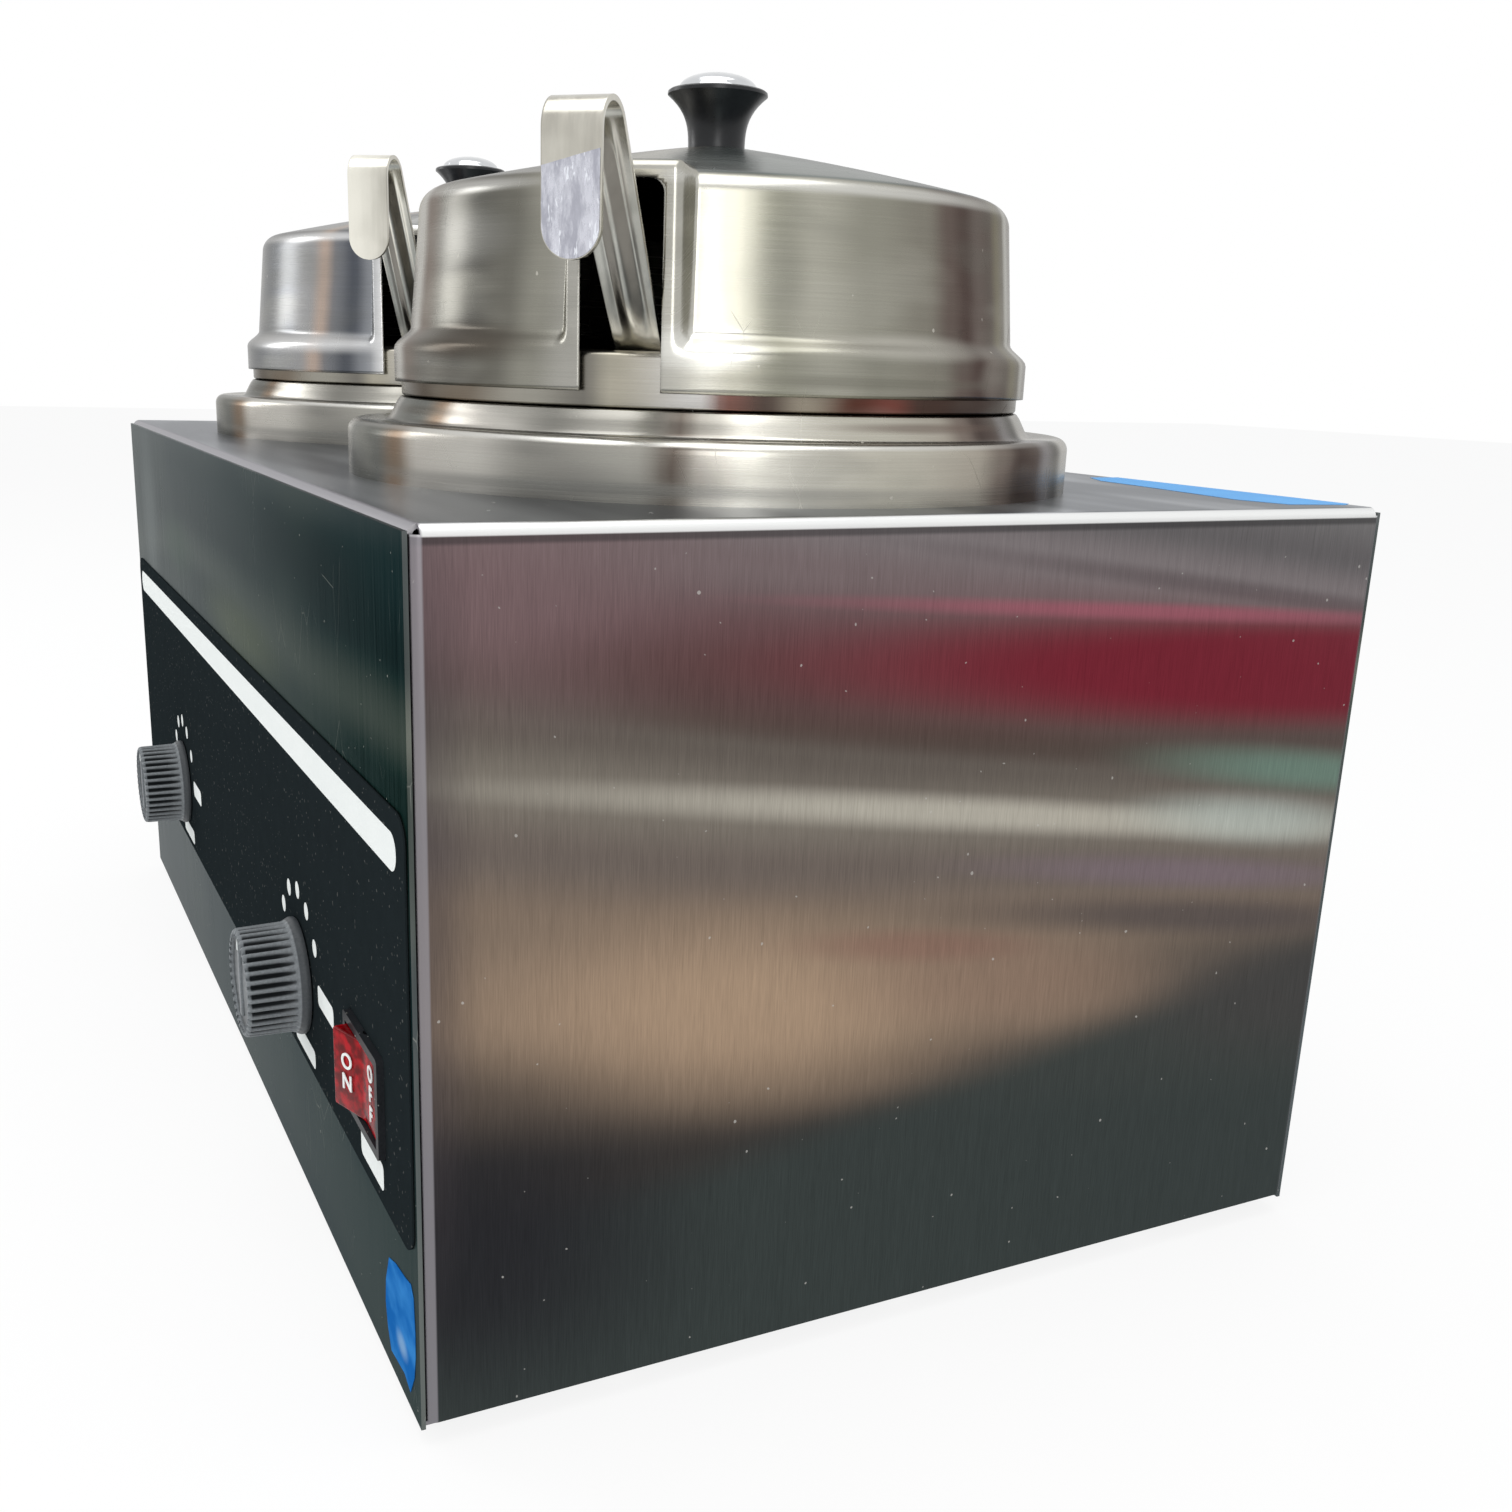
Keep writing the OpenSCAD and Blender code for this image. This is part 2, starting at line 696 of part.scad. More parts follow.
module capillary(side) color("peru") {
    stat_top = dial_abs_z + stat_h/2;
    mid = front_y + sheet + stat_d/2;
    bulb_z = top_z + well_floor_z + bulb_lift;
    high = bulb_z + bulb_len + capillary_rise;
    rod([[side*unit_x, mid, stat_top], [side*unit_x, mid, high], [bulb_x(side), mid, high],
         [bulb_x(side), bulb_y(), high], [bulb_x(side), bulb_y(), bulb_z + bulb_len - over]],
        capillary_r);
    translate([bulb_x(side), bulb_y(), bulb_z]) cylinder(h = bulb_len, r = bulb_r);
}

module bulb_clips() color("silver") for (side = [right, left]) at_unit(side) difference() {
    rotate([0, 0, -90 - bulb_turn])
        translate([well_out_r - over, -clip_w/2, well_floor_z + bulb_lift + bulb_len/2])
            cube([over + bulb_off + bulb_r*2 + clip_t, clip_w, clip_h]);
    translate([0, 0, well_floor_z]) cylinder(h = -well_floor_z, r = well_out_r + run_gap);
    rotate([0, 0, -90 - bulb_turn])
        translate([well_out_r + bulb_r + bulb_off, 0, well_floor_z])
            cylinder(h = -well_floor_z, r = bulb_r + run_gap);
}

// Things in the power switch are drawn with their Z axis pointing out of the panel
module at_switch() {
    translate([switch_x, front_y, switch_z]) rotate([90, 0, 0]) children();
}

module switch_housing() color("#141414") at_switch() difference() {
    union() {
        linear_extrude(bezel_t) block_centred(bezel_w, bezel_h, bezel_round);
        translate([0, 0, -housing_d]) linear_extrude(housing_d + bezel_t/2)
            block_centred(bezel_w - bezel_lap*2, bezel_h - bezel_lap*2, bezel_round);
    }
    translate([-cavity_half_w, -cavity_half_h, -cavity_d])
        cube([cavity_half_w*2, cavity_half_h*2, cavity_d + over*2]);
    translate([0, 0, -pivot_in]) rotate([90, 0, 0])
        cylinder(h = bezel_h*2, r = trunnion_r + run_gap, center = true);
    translate([0, 0, -cavity_d]) rotate([0, 90, 0])
        cylinder(h = lamp_len + seat_gap, r = lamp_r + run_gap, center = true);
}

module pilot_lamp() color("orange") at_switch() translate([0, 0, -cavity_d]) rotate([0, 90, 0])
    intersection() {
        cylinder(h = lamp_len, r = lamp_r, center = true);
        translate([0, -lamp_r, -lamp_len]) cube([lamp_r*2, lamp_r*2, lamp_len*2]);
    }

module power_rocker() color("#c01818") at_switch()
    translate([0, 0, -pivot_in]) rotate([0, rocker_travel/2, 0]) rotate([90, 0, 0]) {
        end = cavity_half_w - rocker_gap - rocker_gap;
        half = cavity_half_h - rocker_gap;
        translate([0, 0, -half]) linear_extrude(half*2) polygon([
            [-end, rocker_end_h], [0, rocker_mid_h], [end, rocker_end_h],
            [end - rocker_gap, -rocker_foot], [rocker_gap - end, -rocker_foot]]);
        cylinder(h = (half + housing_wall)*2, r = trunnion_r, center = true);
    }

module switch_tabs() color("goldenrod") at_switch() for (i = [-1, 1], j = [-1, 1])
    translate([i*tab_pitch - tab_t/2, j*(tab_pitch/2 + tab_shift) - tab_w/2, -housing_d - tab_len])
        cube([tab_t, tab_w, tab_len]);

module terminal_block() color("ivory") difference() {
    translate([-block_w/2, block_y, base_z]) cube([block_w, block_d, block_h]);
    for (i = [0:block_poles - 1]) translate([pole_x(i), block_y + block_d/2, base_z + block_h/2])
        cylinder(h = block_h, r = block_screw_r + run_gap);
}
function pole_x(i) = (i - (block_poles - 1)/2)*block_w/block_poles;

module terminal_screws() color("goldenrod") for (i = [0:block_poles - 1])
    translate([pole_x(i), block_y + block_d/2, base_z + block_h/2]) difference() {
        cylinder(h = block_h/2 - head_h/2, r = block_screw_r);
        translate([-block_screw_r, -pointer_w/2, block_h/2 - head_h])
            cube([block_screw_r*2, pointer_w, head_h]);
    }

module earth_stud() color("goldenrod") translate([earth_x, rear_y, base_z + bushing_z])
    rotate([90, 0, 0]) {
        translate([0, 0, -head_h]) cylinder(h = head_h, r = head_r);
        cylinder(h = earth_h, r = stud_r);
        translate([0, 0, sheet]) cylinder(h = nut_h, r = nut_r, $fn = hex);
    }

module wiring() color("firebrick") {
    stat_low = dial_abs_z - stat_h/2;
    stat_y = front_y + sheet + stat_d/2;
    tab_z = switch_z - tab_pitch/2 - tab_w/2;
    block_z = base_z + block_h/2;
    home_y = block_y - wire_step;
    // Terminal block to the switch
    rod([[0, block_y, block_z], [0, home_y, block_z], [0, home_y, wire_z],
         [0, wire_lane_y, wire_z], [switch_x + tab_pitch, wire_lane_y, wire_z],
         [switch_x + tab_pitch, wire_rise_y, wire_z], [switch_x + tab_pitch, wire_rise_y, tab_z]],
        wire_r);
    // Switch to the right-hand thermostat
    rod([[unit_x - stat_w/4, stat_y, stat_low], [unit_x - stat_w/4, stat_y, wire_z],
         [switch_x - tab_pitch, stat_y, wire_z], [switch_x - tab_pitch, wire_rise_y, wire_z],
         [switch_x - tab_pitch, wire_rise_y, tab_z]], wire_r);
    // Terminal block to the left-hand thermostat
    rod([[stat_w/4 - unit_x, stat_y, stat_low], [stat_w/4 - unit_x, stat_y, wire_z],
         [stat_w/4 - unit_x, wire_lane_y, wire_z], [-wire_step, wire_lane_y, wire_z],
         [-wire_step, home_y, wire_z], [-wire_step, home_y, block_z],
         [-wire_step, block_y, block_z]], wire_r);
    tail_y = unit_y - ring_r*cos((360 - ring_sweep)/2);
    tail_z = ring_z - tail_h - pin_h;
    tail_off = ring_r*sin((360 - ring_sweep)/2);
    for (side = [right, left]) {
        // Inner pin of the heater to the terminal block
        rod([[side*(unit_x - tail_off), tail_y, tail_z], [side*(unit_x - tail_off), tail_y, wire_z],
             [side*wire_step*2, tail_y, wire_z], [side*wire_step*2, home_y, wire_z],
             [side*wire_step*2, home_y, block_z], [side*wire_step*2, block_y, block_z]], wire_r);
        // Outer pin of the heater to its thermostat
        rod([[side*(unit_x + tail_off), tail_y, tail_z],
             [side*(unit_x + tail_off), tail_y, tail_z - wire_step],
             [side*(unit_x + tail_off), stat_y, tail_z - wire_step],
             [side*(unit_x + stat_w/4), stat_y, tail_z - wire_step],
             [side*(unit_x + stat_w/4), stat_y, stat_low]], wire_r);
    }
    // Cord entry to the terminal block
    rod([[bushing_x, wrap_rear - bushing_in_len, base_z + bushing_z],
         [bushing_x, block_y + block_d/2, base_z + bushing_z],
         [bushing_x, block_y + block_d/2, block_z], [-block_w/2, block_y + block_d/2, block_z]],
        lead_r);
}

module cord_bushing() color("#1c1c1c") translate([bushing_x, rear_y, base_z + bushing_z])
    rotate([90, 0, 0]) difference() {
        union() {
            translate([0, 0, -bushing_stand]) cylinder(h = bushing_stand, r1 = bushing_body_r,
                r2 = bushing_flange_r);
            cylinder(h = sheet + bushing_in_len, r = bushing_body_r);
        }
        translate([0, 0, -bushing_stand - over])
            cylinder(h = bushing_stand + bushing_in_len + sheet + over*2, r = cord_bore_r);
    }

// Half of the section of an inset: wall, step, band and rolled rim
module inset_section() {
    bead = [bead_mid_r, rim_z - rim_bead_r];
    corner = inset_corner_r - inset_sheet;
    polygon(concat(
        [[0, inset_floor_z]],
        arc_points([inset_r - inset_corner_r, inset_floor_z + inset_corner_r], inset_corner_r,
            -90, 0, 8),
        [[inset_r, step_z], [band_r, step_z]],
        arc_points(bead, rim_bead_r, 0, 270, 18),
        [[band_r - inset_sheet, rim_z - rim_bead_r*2],
         [band_r - inset_sheet, step_z + inset_sheet], [inset_in_r, step_z + inset_sheet]],
        arc_points([inset_in_r - corner, inset_floor_z + inset_sheet + corner], corner,
            0, -90, 8),
        [[0, inset_floor_z + inset_sheet]]));
}

module inset(side) color("gainsboro") at_unit(side) rotate_extrude() inset_section();

// Half of the section of a lid, drawn in by the sheet thickness
module lid_section(inset) {
    foot = lid_r - inset;
    shelf_z = lid_flange_h - inset*shelf_share;
    mid = [lid_top_r - lid_shoulder_r, lid_wall_h];
    edge = mid + (lid_shoulder_r - inset)*[sin(dome_slope), cos(dome_slope)];
    crown = lid_h - inset;
    seat_r = lid_knob_foot_r + knob_seat;
    run = edge[0] - seat_r;
    rise = crown - edge[1];
    swell = run*tan(dome_slope) - rise;
    polygon(concat(
        [[0, inset > 0 ? -over : 0], [foot, inset > 0 ? -over : 0]],
        [for (s = flare_shares) [foot - flare_in*s[0], shelf_z + flare_h*s[1]]],
        arc_points(mid, lid_shoulder_r - inset, 0, 90 - dome_slope, 6),
        [for (i = [1:dome_steps]) let (t = i/dome_steps)
            [edge[0] - run*t, edge[1] + rise*t + swell*t*(1 - t)]],
        [[0, crown]]));
}

// The raised border of the notch is a bay that keeps the radius of the flange
module lid_bay(inset) intersection() {
    translate([0, 0, inset > 0 ? -over : 0])
        cylinder(h = notch_h + border_top + (inset > 0 ? over : 0) - inset, r = lid_r - inset);
    notch_prism(border_w - inset, border_top - inset);
}

// A prism along +X with two round upper corners, wider and taller than the notch by the margins
module notch_prism(side_margin, top_margin) {
    w = notch_w + side_margin*2;
    h = notch_h + top_margin;
    r = notch_corner_r + side_margin/2;
    translate([lid_top_r/2, 0, 0]) rotate([90, 0, 90]) linear_extrude(lid_r) {
        translate([-w/2, -over]) square([w, h + over - r]);
        translate([r - w/2, -over]) square([w - r*2, h + over]);
        for (x = [r - w/2, w/2 - r]) translate([x, h - r]) circle(r);
    }
}

module at_lid(side) {
    at_unit(side) translate([0, 0, lid_z]) rotate([0, 0, side > 0 ? notch_turn_right
        : notch_turn_left]) children();
}

module lid(side) color("silver") at_lid(side) difference() {
    union() {
        rotate_extrude() lid_section(0);
        lid_bay(0);
    }
    rotate_extrude() lid_section(lid_sheet);
    lid_bay(lid_sheet);
    notch_prism(0, 0);
    cylinder(h = lid_h + over, r = screw_r + run_gap);
}

module lid_knob(side) color("#1a1a1a") at_lid(side) translate([0, 0, lid_h])
    difference() {
        rotate_extrude() polygon(concat(
            [[0, 0]],
            [for (i = [0:knob_steps]) let (t = i/knob_steps) [lid_knob_foot_r
                + (lid_knob_r - lid_knob_foot_r)*pow(t, knob_curve), lid_knob_h*t]],
            [[lid_knob_r - knob_lip_in, lid_knob_h + knob_lip_h], [0, lid_knob_h + knob_lip_h]]));
        translate([0, 0, -over]) cylinder(h = lid_knob_h*knob_bore_share + over,
            r = screw_r + run_gap);
    }

module knob_cap(side) color("whitesmoke") at_lid(side)
    translate([0, 0, lid_h + lid_knob_h + knob_lip_h]) rotate_extrude()
        intersection() {
            translate([0, knob_cap_h - cap_sphere_r()]) circle(cap_sphere_r(), $fn = 180);
            square([knob_cap_r, knob_cap_h]);
        }
function cap_sphere_r() = (knob_cap_r*knob_cap_r + knob_cap_h*knob_cap_h)/(knob_cap_h*2);

module lid_screw(side) color("silver") at_lid(side) translate([0, 0, lid_h - lid_sheet]) {
    translate([0, 0, -head_h - screw_seat]) cylinder(h = head_h, r = head_r);
    translate([0, 0, -head_h - screw_seat]) cylinder(h = head_h + lid_knob_h*knob_screw_share,
        r = screw_r);
}

// The underside of a handle lies on the rolled rim and its bowl stands on the inset floor.
// Below and above are the lengths of the handle on either side of the rim.
rim_s = sqrt(pow(bead_mid_r, 2) - pow(ladle_offset + hook_w/2, 2));
bowl_arm = bowl_r + ladle_sheet - bowl_weld;
bowl_line = rim_bead_r + seat_gap + bowl_arm;
bowl_drop = inset_h - inset_sheet - rim_bead_r - bowl_r - seat_gap;
function ladle_lean(side) = side > 0 ? ladle_lean_right : ladle_lean_left;
function handle_below(side) = (bowl_drop + bowl_line*sin(ladle_lean(side)))/cos(ladle_lean(side));

// Handle frame: X runs up the handle, Y is across it, Z points outwards, away from the bowl
module at_ladle(side) {
    at_unit(side) rotate([0, 0, side > 0 ? ladle_turn_right : ladle_turn_left])
        translate([rim_s, ladle_offset, rim_z - rim_bead_r])
            rotate([0, ladle_lean(side) - 90, 0])
                translate([0, 0, rim_bead_r + seat_gap]) mirror([0, 0, 1]) children();
}

// Side view of the strap, its hook and its leg, as one strip of even thickness
module ladle_strip(below, above, bend) {
    mid = [above, hook_r - ladle_sheet];
    inner = hook_r - ladle_sheet;
    out = [cos(bend - 90), sin(bend - 90)];
    tip = mid + hook_leg*[cos(bend), sin(bend)];
    rotate([90, 0, 0]) linear_extrude(hook_w, center = true) polygon(concat(
        [[-below, -ladle_sheet]], arc_points(mid, hook_r, -90, bend - 90, 16),
        [tip + hook_r*out, tip + inner*out],
        arc_points(mid, inner, bend - 90, -90, 16), [[-below, 0]]));
}

module ladle(side) color("whitesmoke") at_ladle(side) {
    below = handle_below(side);
    above = handle_len - below;
    bend = 180 - ladle_lean(side);
    foot_w = handle_w*handle_foot_share;
    difference() {
        ladle_strip(below, above, bend);
        // The strap narrows towards the bowl
        for (flip = [0, 1]) mirror([0, flip, 0]) translate([0, 0, -ladle_sheet - over])
            linear_extrude(ladle_sheet + over*2) polygon([
                [-below - over, foot_w/2], [0, handle_w/2], [above, hook_w/2],
                [above, hook_w], [-below - over, hook_w]]);
        // The tip of the leg is round
        translate([above, 0, hook_r - ladle_sheet]) rotate([0, -bend, 0])
            translate([hook_leg - hook_w/2, 0, -hook_r - over])
                linear_extrude(ladle_sheet + over*2) difference() {
                    translate([0, -hook_w]) square([hook_w, hook_w*2]);
                    circle(hook_w/2);
                }
    }
    // The rib
    translate([rib_from, 0, 0]) rotate([0, 90, 0])
        cylinder(h = above - rib_from - rib_to, r = rib_r, $fn = 32);
    // Bowl with a short straight rim
    translate([-below, 0, -bowl_arm]) rotate([0, 90, 0]) difference() {
        union() {
            sphere(bowl_r);
            cylinder(h = bowl_rim_h, r = bowl_r);
        }
        sphere(bowl_r - ladle_sheet);
        cylinder(h = bowl_r*2, r = bowl_r - ladle_sheet);
        translate([0, 0, bowl_rim_h]) cylinder(h = bowl_r*2, r = bowl_r*2);
    }
}

body_wrap();
front_panel();
rear_panel();
bottom_pan();
control_film();
rubber_feet();
foot_screws();
front_nuts();
rear_screws();
bottom_screws();
collar(right);  // collar_right
collar(left);  // collar_left
water_well(right);  // water_well_right
water_well(left);  // water_well_left
insulation(right);  // insulation_right
insulation(left);  // insulation_left
heater(right);  // heater_right
heater(left);  // heater_left
heater_bar(right);  // heater_bar_right
heater_bar(left);  // heater_bar_left
heater_nuts();
thermostat(right);  // thermostat_right
thermostat(left);  // thermostat_left
thermostat_nuts();
capillary(right);  // capillary_right
capillary(left);  // capillary_left
bulb_clips();
switch_housing();
switch_tabs();
pilot_lamp();
terminal_block();
terminal_screws();
earth_stud();
wiring();
cord_bushing();
inset(right);  // inset_right
inset(left);  // inset_left
lid(right);  // lid_right
lid(left);  // lid_left
lid_knob(right);  // lid_knob_right
lid_knob(left);  // lid_knob_left
knob_cap(right);  // knob_cap_right
knob_cap(left);  // knob_cap_left
lid_screw(right);  // lid_screw_right
lid_screw(left);  // lid_screw_left
ladle(right);  // ladle_right
ladle(left);  // ladle_left
dial_knob(right);  // dial_knob_right
dial_knob(left);  // dial_knob_left
dial_shaft(right);  // dial_shaft_right
dial_shaft(left);  // dial_shaft_left
power_rocker();
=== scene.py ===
# %% [markdown]
# # A twin topping warmer
# The real object is a folded steel casing with two spun steel collars. In each collar stands an
# inset for hot topping, with a notched lid, a black knob and a ladle. The CAD model gives every
# piece its place and its motion. This lesson loads it, dresses the plain solids in finishes, and
# builds the pieces that need a finer shape than a machine drawing has.

# %% Load the frame
from math import asin, atan2, copysign, cos, degrees, hypot, pi, radians, sin, sqrt, tau

import bmesh
import bpy
from mathutils import Matrix, Vector


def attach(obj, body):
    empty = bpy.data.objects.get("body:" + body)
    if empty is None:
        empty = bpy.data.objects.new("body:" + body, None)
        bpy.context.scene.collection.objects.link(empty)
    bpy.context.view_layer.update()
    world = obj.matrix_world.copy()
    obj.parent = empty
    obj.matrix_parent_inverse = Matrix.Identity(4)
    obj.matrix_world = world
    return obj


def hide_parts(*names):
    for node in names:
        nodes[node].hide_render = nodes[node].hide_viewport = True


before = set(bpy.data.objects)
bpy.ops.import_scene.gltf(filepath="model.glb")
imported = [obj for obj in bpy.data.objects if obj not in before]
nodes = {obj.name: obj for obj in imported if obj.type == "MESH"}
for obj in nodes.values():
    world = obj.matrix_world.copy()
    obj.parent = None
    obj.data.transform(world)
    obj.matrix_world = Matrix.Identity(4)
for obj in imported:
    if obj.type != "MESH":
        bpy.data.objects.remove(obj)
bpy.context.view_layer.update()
scene = bpy.context.scene

# %% [markdown]
# ## The camera
# A picture taken close to the right-hand front corner, from a little above the lids. The shift
# stands for a picture that was cropped off its middle. Looking direction, right and up come from
# the bearing, the tilt and a small roll, and they are the columns of the camera's matrix.

# %% Camera
def linked(name, data):
    """A new object in the scene."""
    made = bpy.data.objects.new(name, data)
    scene.collection.objects.link(made)
    return made


bearing, tilt, roll = (radians(a) for a in (63.82, 15.69, 1.75))
ahead = Vector((-sin(bearing) * cos(tilt), cos(bearing) * cos(tilt), -sin(tilt)))
level = ahead.cross(Vector((0, 0, 1))).normalized()
side = level * cos(roll) + level.cross(ahead) * sin(roll)
up = side.cross(ahead)
camera = linked("camera", bpy.data.cameras.new("camera"))
camera.matrix_world = Matrix((side, up, -ahead)).transposed().to_4x4()
camera.location = (0.4857, -0.19195, 0.225)
camera.data.lens = 36.59
camera.data.shift_x, camera.data.shift_y = 0.0395, 0.0269
camera.data.clip_start = 0.01
scene.camera = camera

# %% [markdown]
# ## Light
# Three large, soft lamps and a pale world are a plain studio. Light Path lets the camera and the
# mirror-like surfaces see a white backdrop, while matt surfaces get a little less of it, so that
# the floor keeps a soft shadow.

# %% World, lamps and floor
world = bpy.data.worlds.new("studio")
scene.world = world
world.use_nodes = True
tree = world.node_tree
tree.nodes.clear()


def seen_rays(tree):
    """1 for what the camera sees itself, in a mirror or through glass, and 0 for light on matt things."""
    path = tree.nodes.new("ShaderNodeLightPath")
    sums = [tree.nodes.new("ShaderNodeMath") for _ in range(2)]
    for node in sums:
        node.operation, node.use_clamp = "ADD", True
    tree.links.new(path.outputs["Is Glossy Ray"], sums[0].inputs[0])
    tree.links.new(path.outputs["Is Transmission Ray"], sums[0].inputs[1])
    tree.links.new(path.outputs["Is Camera Ray"], sums[1].inputs[0])
    tree.links.new(sums[0].outputs[0], sums[1].inputs[1])
    return sums[1].outputs[0]


white, pale = (tree.nodes.new("ShaderNodeBackground") for _ in range(2))
white.inputs["Color"].default_value = (1, 1, 1, 1)
pale.inputs["Color"].default_value = (0.98, 0.99, 1, 1)
pale.inputs["Strength"].default_value = 0.7
either = tree.nodes.new("ShaderNodeMixShader")
out = tree.nodes.new("ShaderNodeOutputWorld")
tree.links.new(seen_rays(tree), either.inputs[0])
tree.links.new(pale.outputs[0], either.inputs[1])
tree.links.new(white.outputs[0], either.inputs[2])
tree.links.new(either.outputs[0], out.inputs[0])


def softbox(name, place, aim, size, watts):
    lamp = linked(name, bpy.data.lights.new(name, "AREA"))
    lamp.data.shape = "RECTANGLE"
    lamp.data.size, lamp.data.size_y = size
    lamp.data.energy = watts
    lamp.location = place
    lamp.rotation_mode = "QUATERNION"
    lamp.rotation_quaternion = (Vector(aim) - Vector(place)).to_track_quat("-Z", "Y")


softbox("lamp_above", (0.2, -0.2, 1.5), (0, 0, 0.1), (1.2, 1.2), 9)
softbox("lamp_right", (1.4, -0.5, 0.7), (0, 0, 0.15), (0.5, 1), 5)
softbox("lamp_left", (-1.2, -1.2, 0.8), (0, 0, 0.15), (0.5, 1), 5)
scene.view_settings.view_transform = "Standard"

# %% [markdown]
# ## A small language for finishes
# Every finish is a tree of nodes. A class that wraps a socket lets the tree be written as maths:
# `light * 0.4 + grain` adds a Multiply and an Add node. Colours go through Mix nodes instead.

# %% Socket maths
class Sock:
    def __init__(self, finish, out):
        self.finish, self.out = finish, out

    def maths(self, operation, a, b):
        return self.finish.node("Math", {"operation": operation}, {0: a, 1: b})

    def __add__(self, other):
        return self.maths("ADD", self, other)

    def __sub__(self, other):
        return self.maths("SUBTRACT", self, other)

    def __rsub__(self, other):
        return self.maths("SUBTRACT", other, self)

    def __mul__(self, other):
        return self.maths("MULTIPLY", self, other)

    __radd__, __rmul__ = __add__, __mul__

    def between(self, low, high):
        """0 below low, 1 above high, and a soft step from one to the other."""
        sockets = {"Value": self, "From Min": low, "From Max": high}
        return self.finish.node("MapRange", {"interpolation_type": "SMOOTHSTEP"}, sockets)


class Finish:
    def __init__(self, name, **shader):
        self.material = bpy.data.materials.new(name)
        self.material.use_nodes = True
        self.tree = self.material.node_tree
        self.shader = self.tree.nodes["Principled BSDF"]
        for key, value in shader.items():
            self.shader.inputs[key.replace("_", " ")].default_value = value

    def node(self, kind, settings=None, sockets=None, out=0):
        made = self.tree.nodes.new("ShaderNode" + kind)
        for key, value in (settings or {}).items():
            setattr(made, key, value)
        for key, value in (sockets or {}).items():
            if isinstance(value, Sock):
                self.tree.links.new(value.out, made.inputs[key])
            else:
                made.inputs[key].default_value = value
        return Sock(self, made.outputs[out])

    def place(self, scale=(1, 1, 1), centre=(0, 0, 0), where=None):
        """Object coordinates, or others that are given, counted from a centre and then scaled."""
        seat = [-c * s for c, s in zip(centre, scale)]
        where = where or self.node("TexCoord", out="Object")
        return self.node("Mapping", {}, {"Vector": where, "Location": seat, "Scale": scale})

    def axis(self, vector, letter):
        return self.node("SeparateXYZ", {}, {0: vector}, "XYZ".index(letter))

    def noise(self, vector, scale=1, detail=2, rough=0.5):
        sockets = {"Vector": vector, "Scale": scale, "Detail": detail, "Roughness": rough}
        return self.node("TexNoise", {}, sockets)

    def length(self, vector):
        return self.node("VectorMath", {"operation": "LENGTH"}, {0: vector}, "Value")

    def size(self, value):
        return self.node("Math", {"operation": "ABSOLUTE"}, {0: value})

    def cracks(self, vector, scale, width):
        """1 on the thin lines between the cells of a Voronoi pattern, which read as scratches."""
        sockets = {"Vector": vector, "Scale": scale}
        edges = self.node("TexVoronoi", {"feature": "DISTANCE_TO_EDGE"}, sockets)
        return 1 - edges.between(0, width)

    def mix(self, share, a, b, blend="MIX"):
        return self.node("Mix", {"data_type": "RGBA", "blend_type": blend}, {0: share, 6: a, 7: b}, 2)

    def ramp(self, value, stops, smooth="EASE"):
        made = self.node("ValToRGB", {}, {0: value})
        ramp = made.out.node.color_ramp
        ramp.interpolation = smooth
        for spot, (at, colour) in enumerate(stops):
            stop = ramp.elements[spot] if spot < 2 else ramp.elements.new(at)
            stop.position, stop.color = at, (*colour, 1)
        return made

    def shade(self, tone, grain, dark, light):
        """Multiplies a tone by two greys: the first where a grain is low, the second where it is high."""
        (low, below), (high, above) = dark, light
        greys = self.ramp(grain, [(low, (below,) * 3), (high, (above,) * 3)], "LINEAR")
        return self.mix(1, tone, greys, "MULTIPLY")

    def bands(self, value, stops):
        """A ramp whose colours are given as a screen shows them."""
        return self.ramp(value, [(at, rgb(*colour)) for at, *colour in stops])

    def feed(self, **sockets):
        for key, value in sockets.items():
            self.tree.links.new(value.out, self.shader.inputs[key.replace("_", " ")])
        return self

    def relief(self, height, strength, depth):
        """Gives the surface a small relief. The depth is in metres."""
        bump = self.node("Bump", {}, {"Strength": strength, "Distance": depth, "Height": height}, "Normal")
        return self.feed(Normal=bump)

    def blot(self, centre, reach, where=None, hard=0.15):
        """1 at a centre and 0 beyond its reach along X, Y and Z. A reach of 0 doesn't count."""
        scale = [1 / r if r else 0 for r in reach]
        return self.length(self.place(scale, centre, where)).between(1, hard)

    def blots(self, tone, spots, where=None):
        """Lays soft patches of colour over a tone: centre, reach, colour and strength of each."""
        for centre, reach, colour, strength in spots:
            tone = self.mix(self.blot(centre, reach, where) * strength, tone, rgba(*colour))
        return tone

    def specks(self, size, share):
        """Small dots of dust: a fine noise that only its highest peaks pass."""
        return self.noise(self.place(), 1 / size, 0).between(1 - share, 1 - share + 0.03)


def rgb(r, g, b):
    """A colour as a screen shows it, from 0 to 255, as the light that Blender counts in."""
    return tuple((c / 255) ** 2.2 for c in (r, g, b))


def rgba(r, g, b):
    return (*rgb(r, g, b), 1)
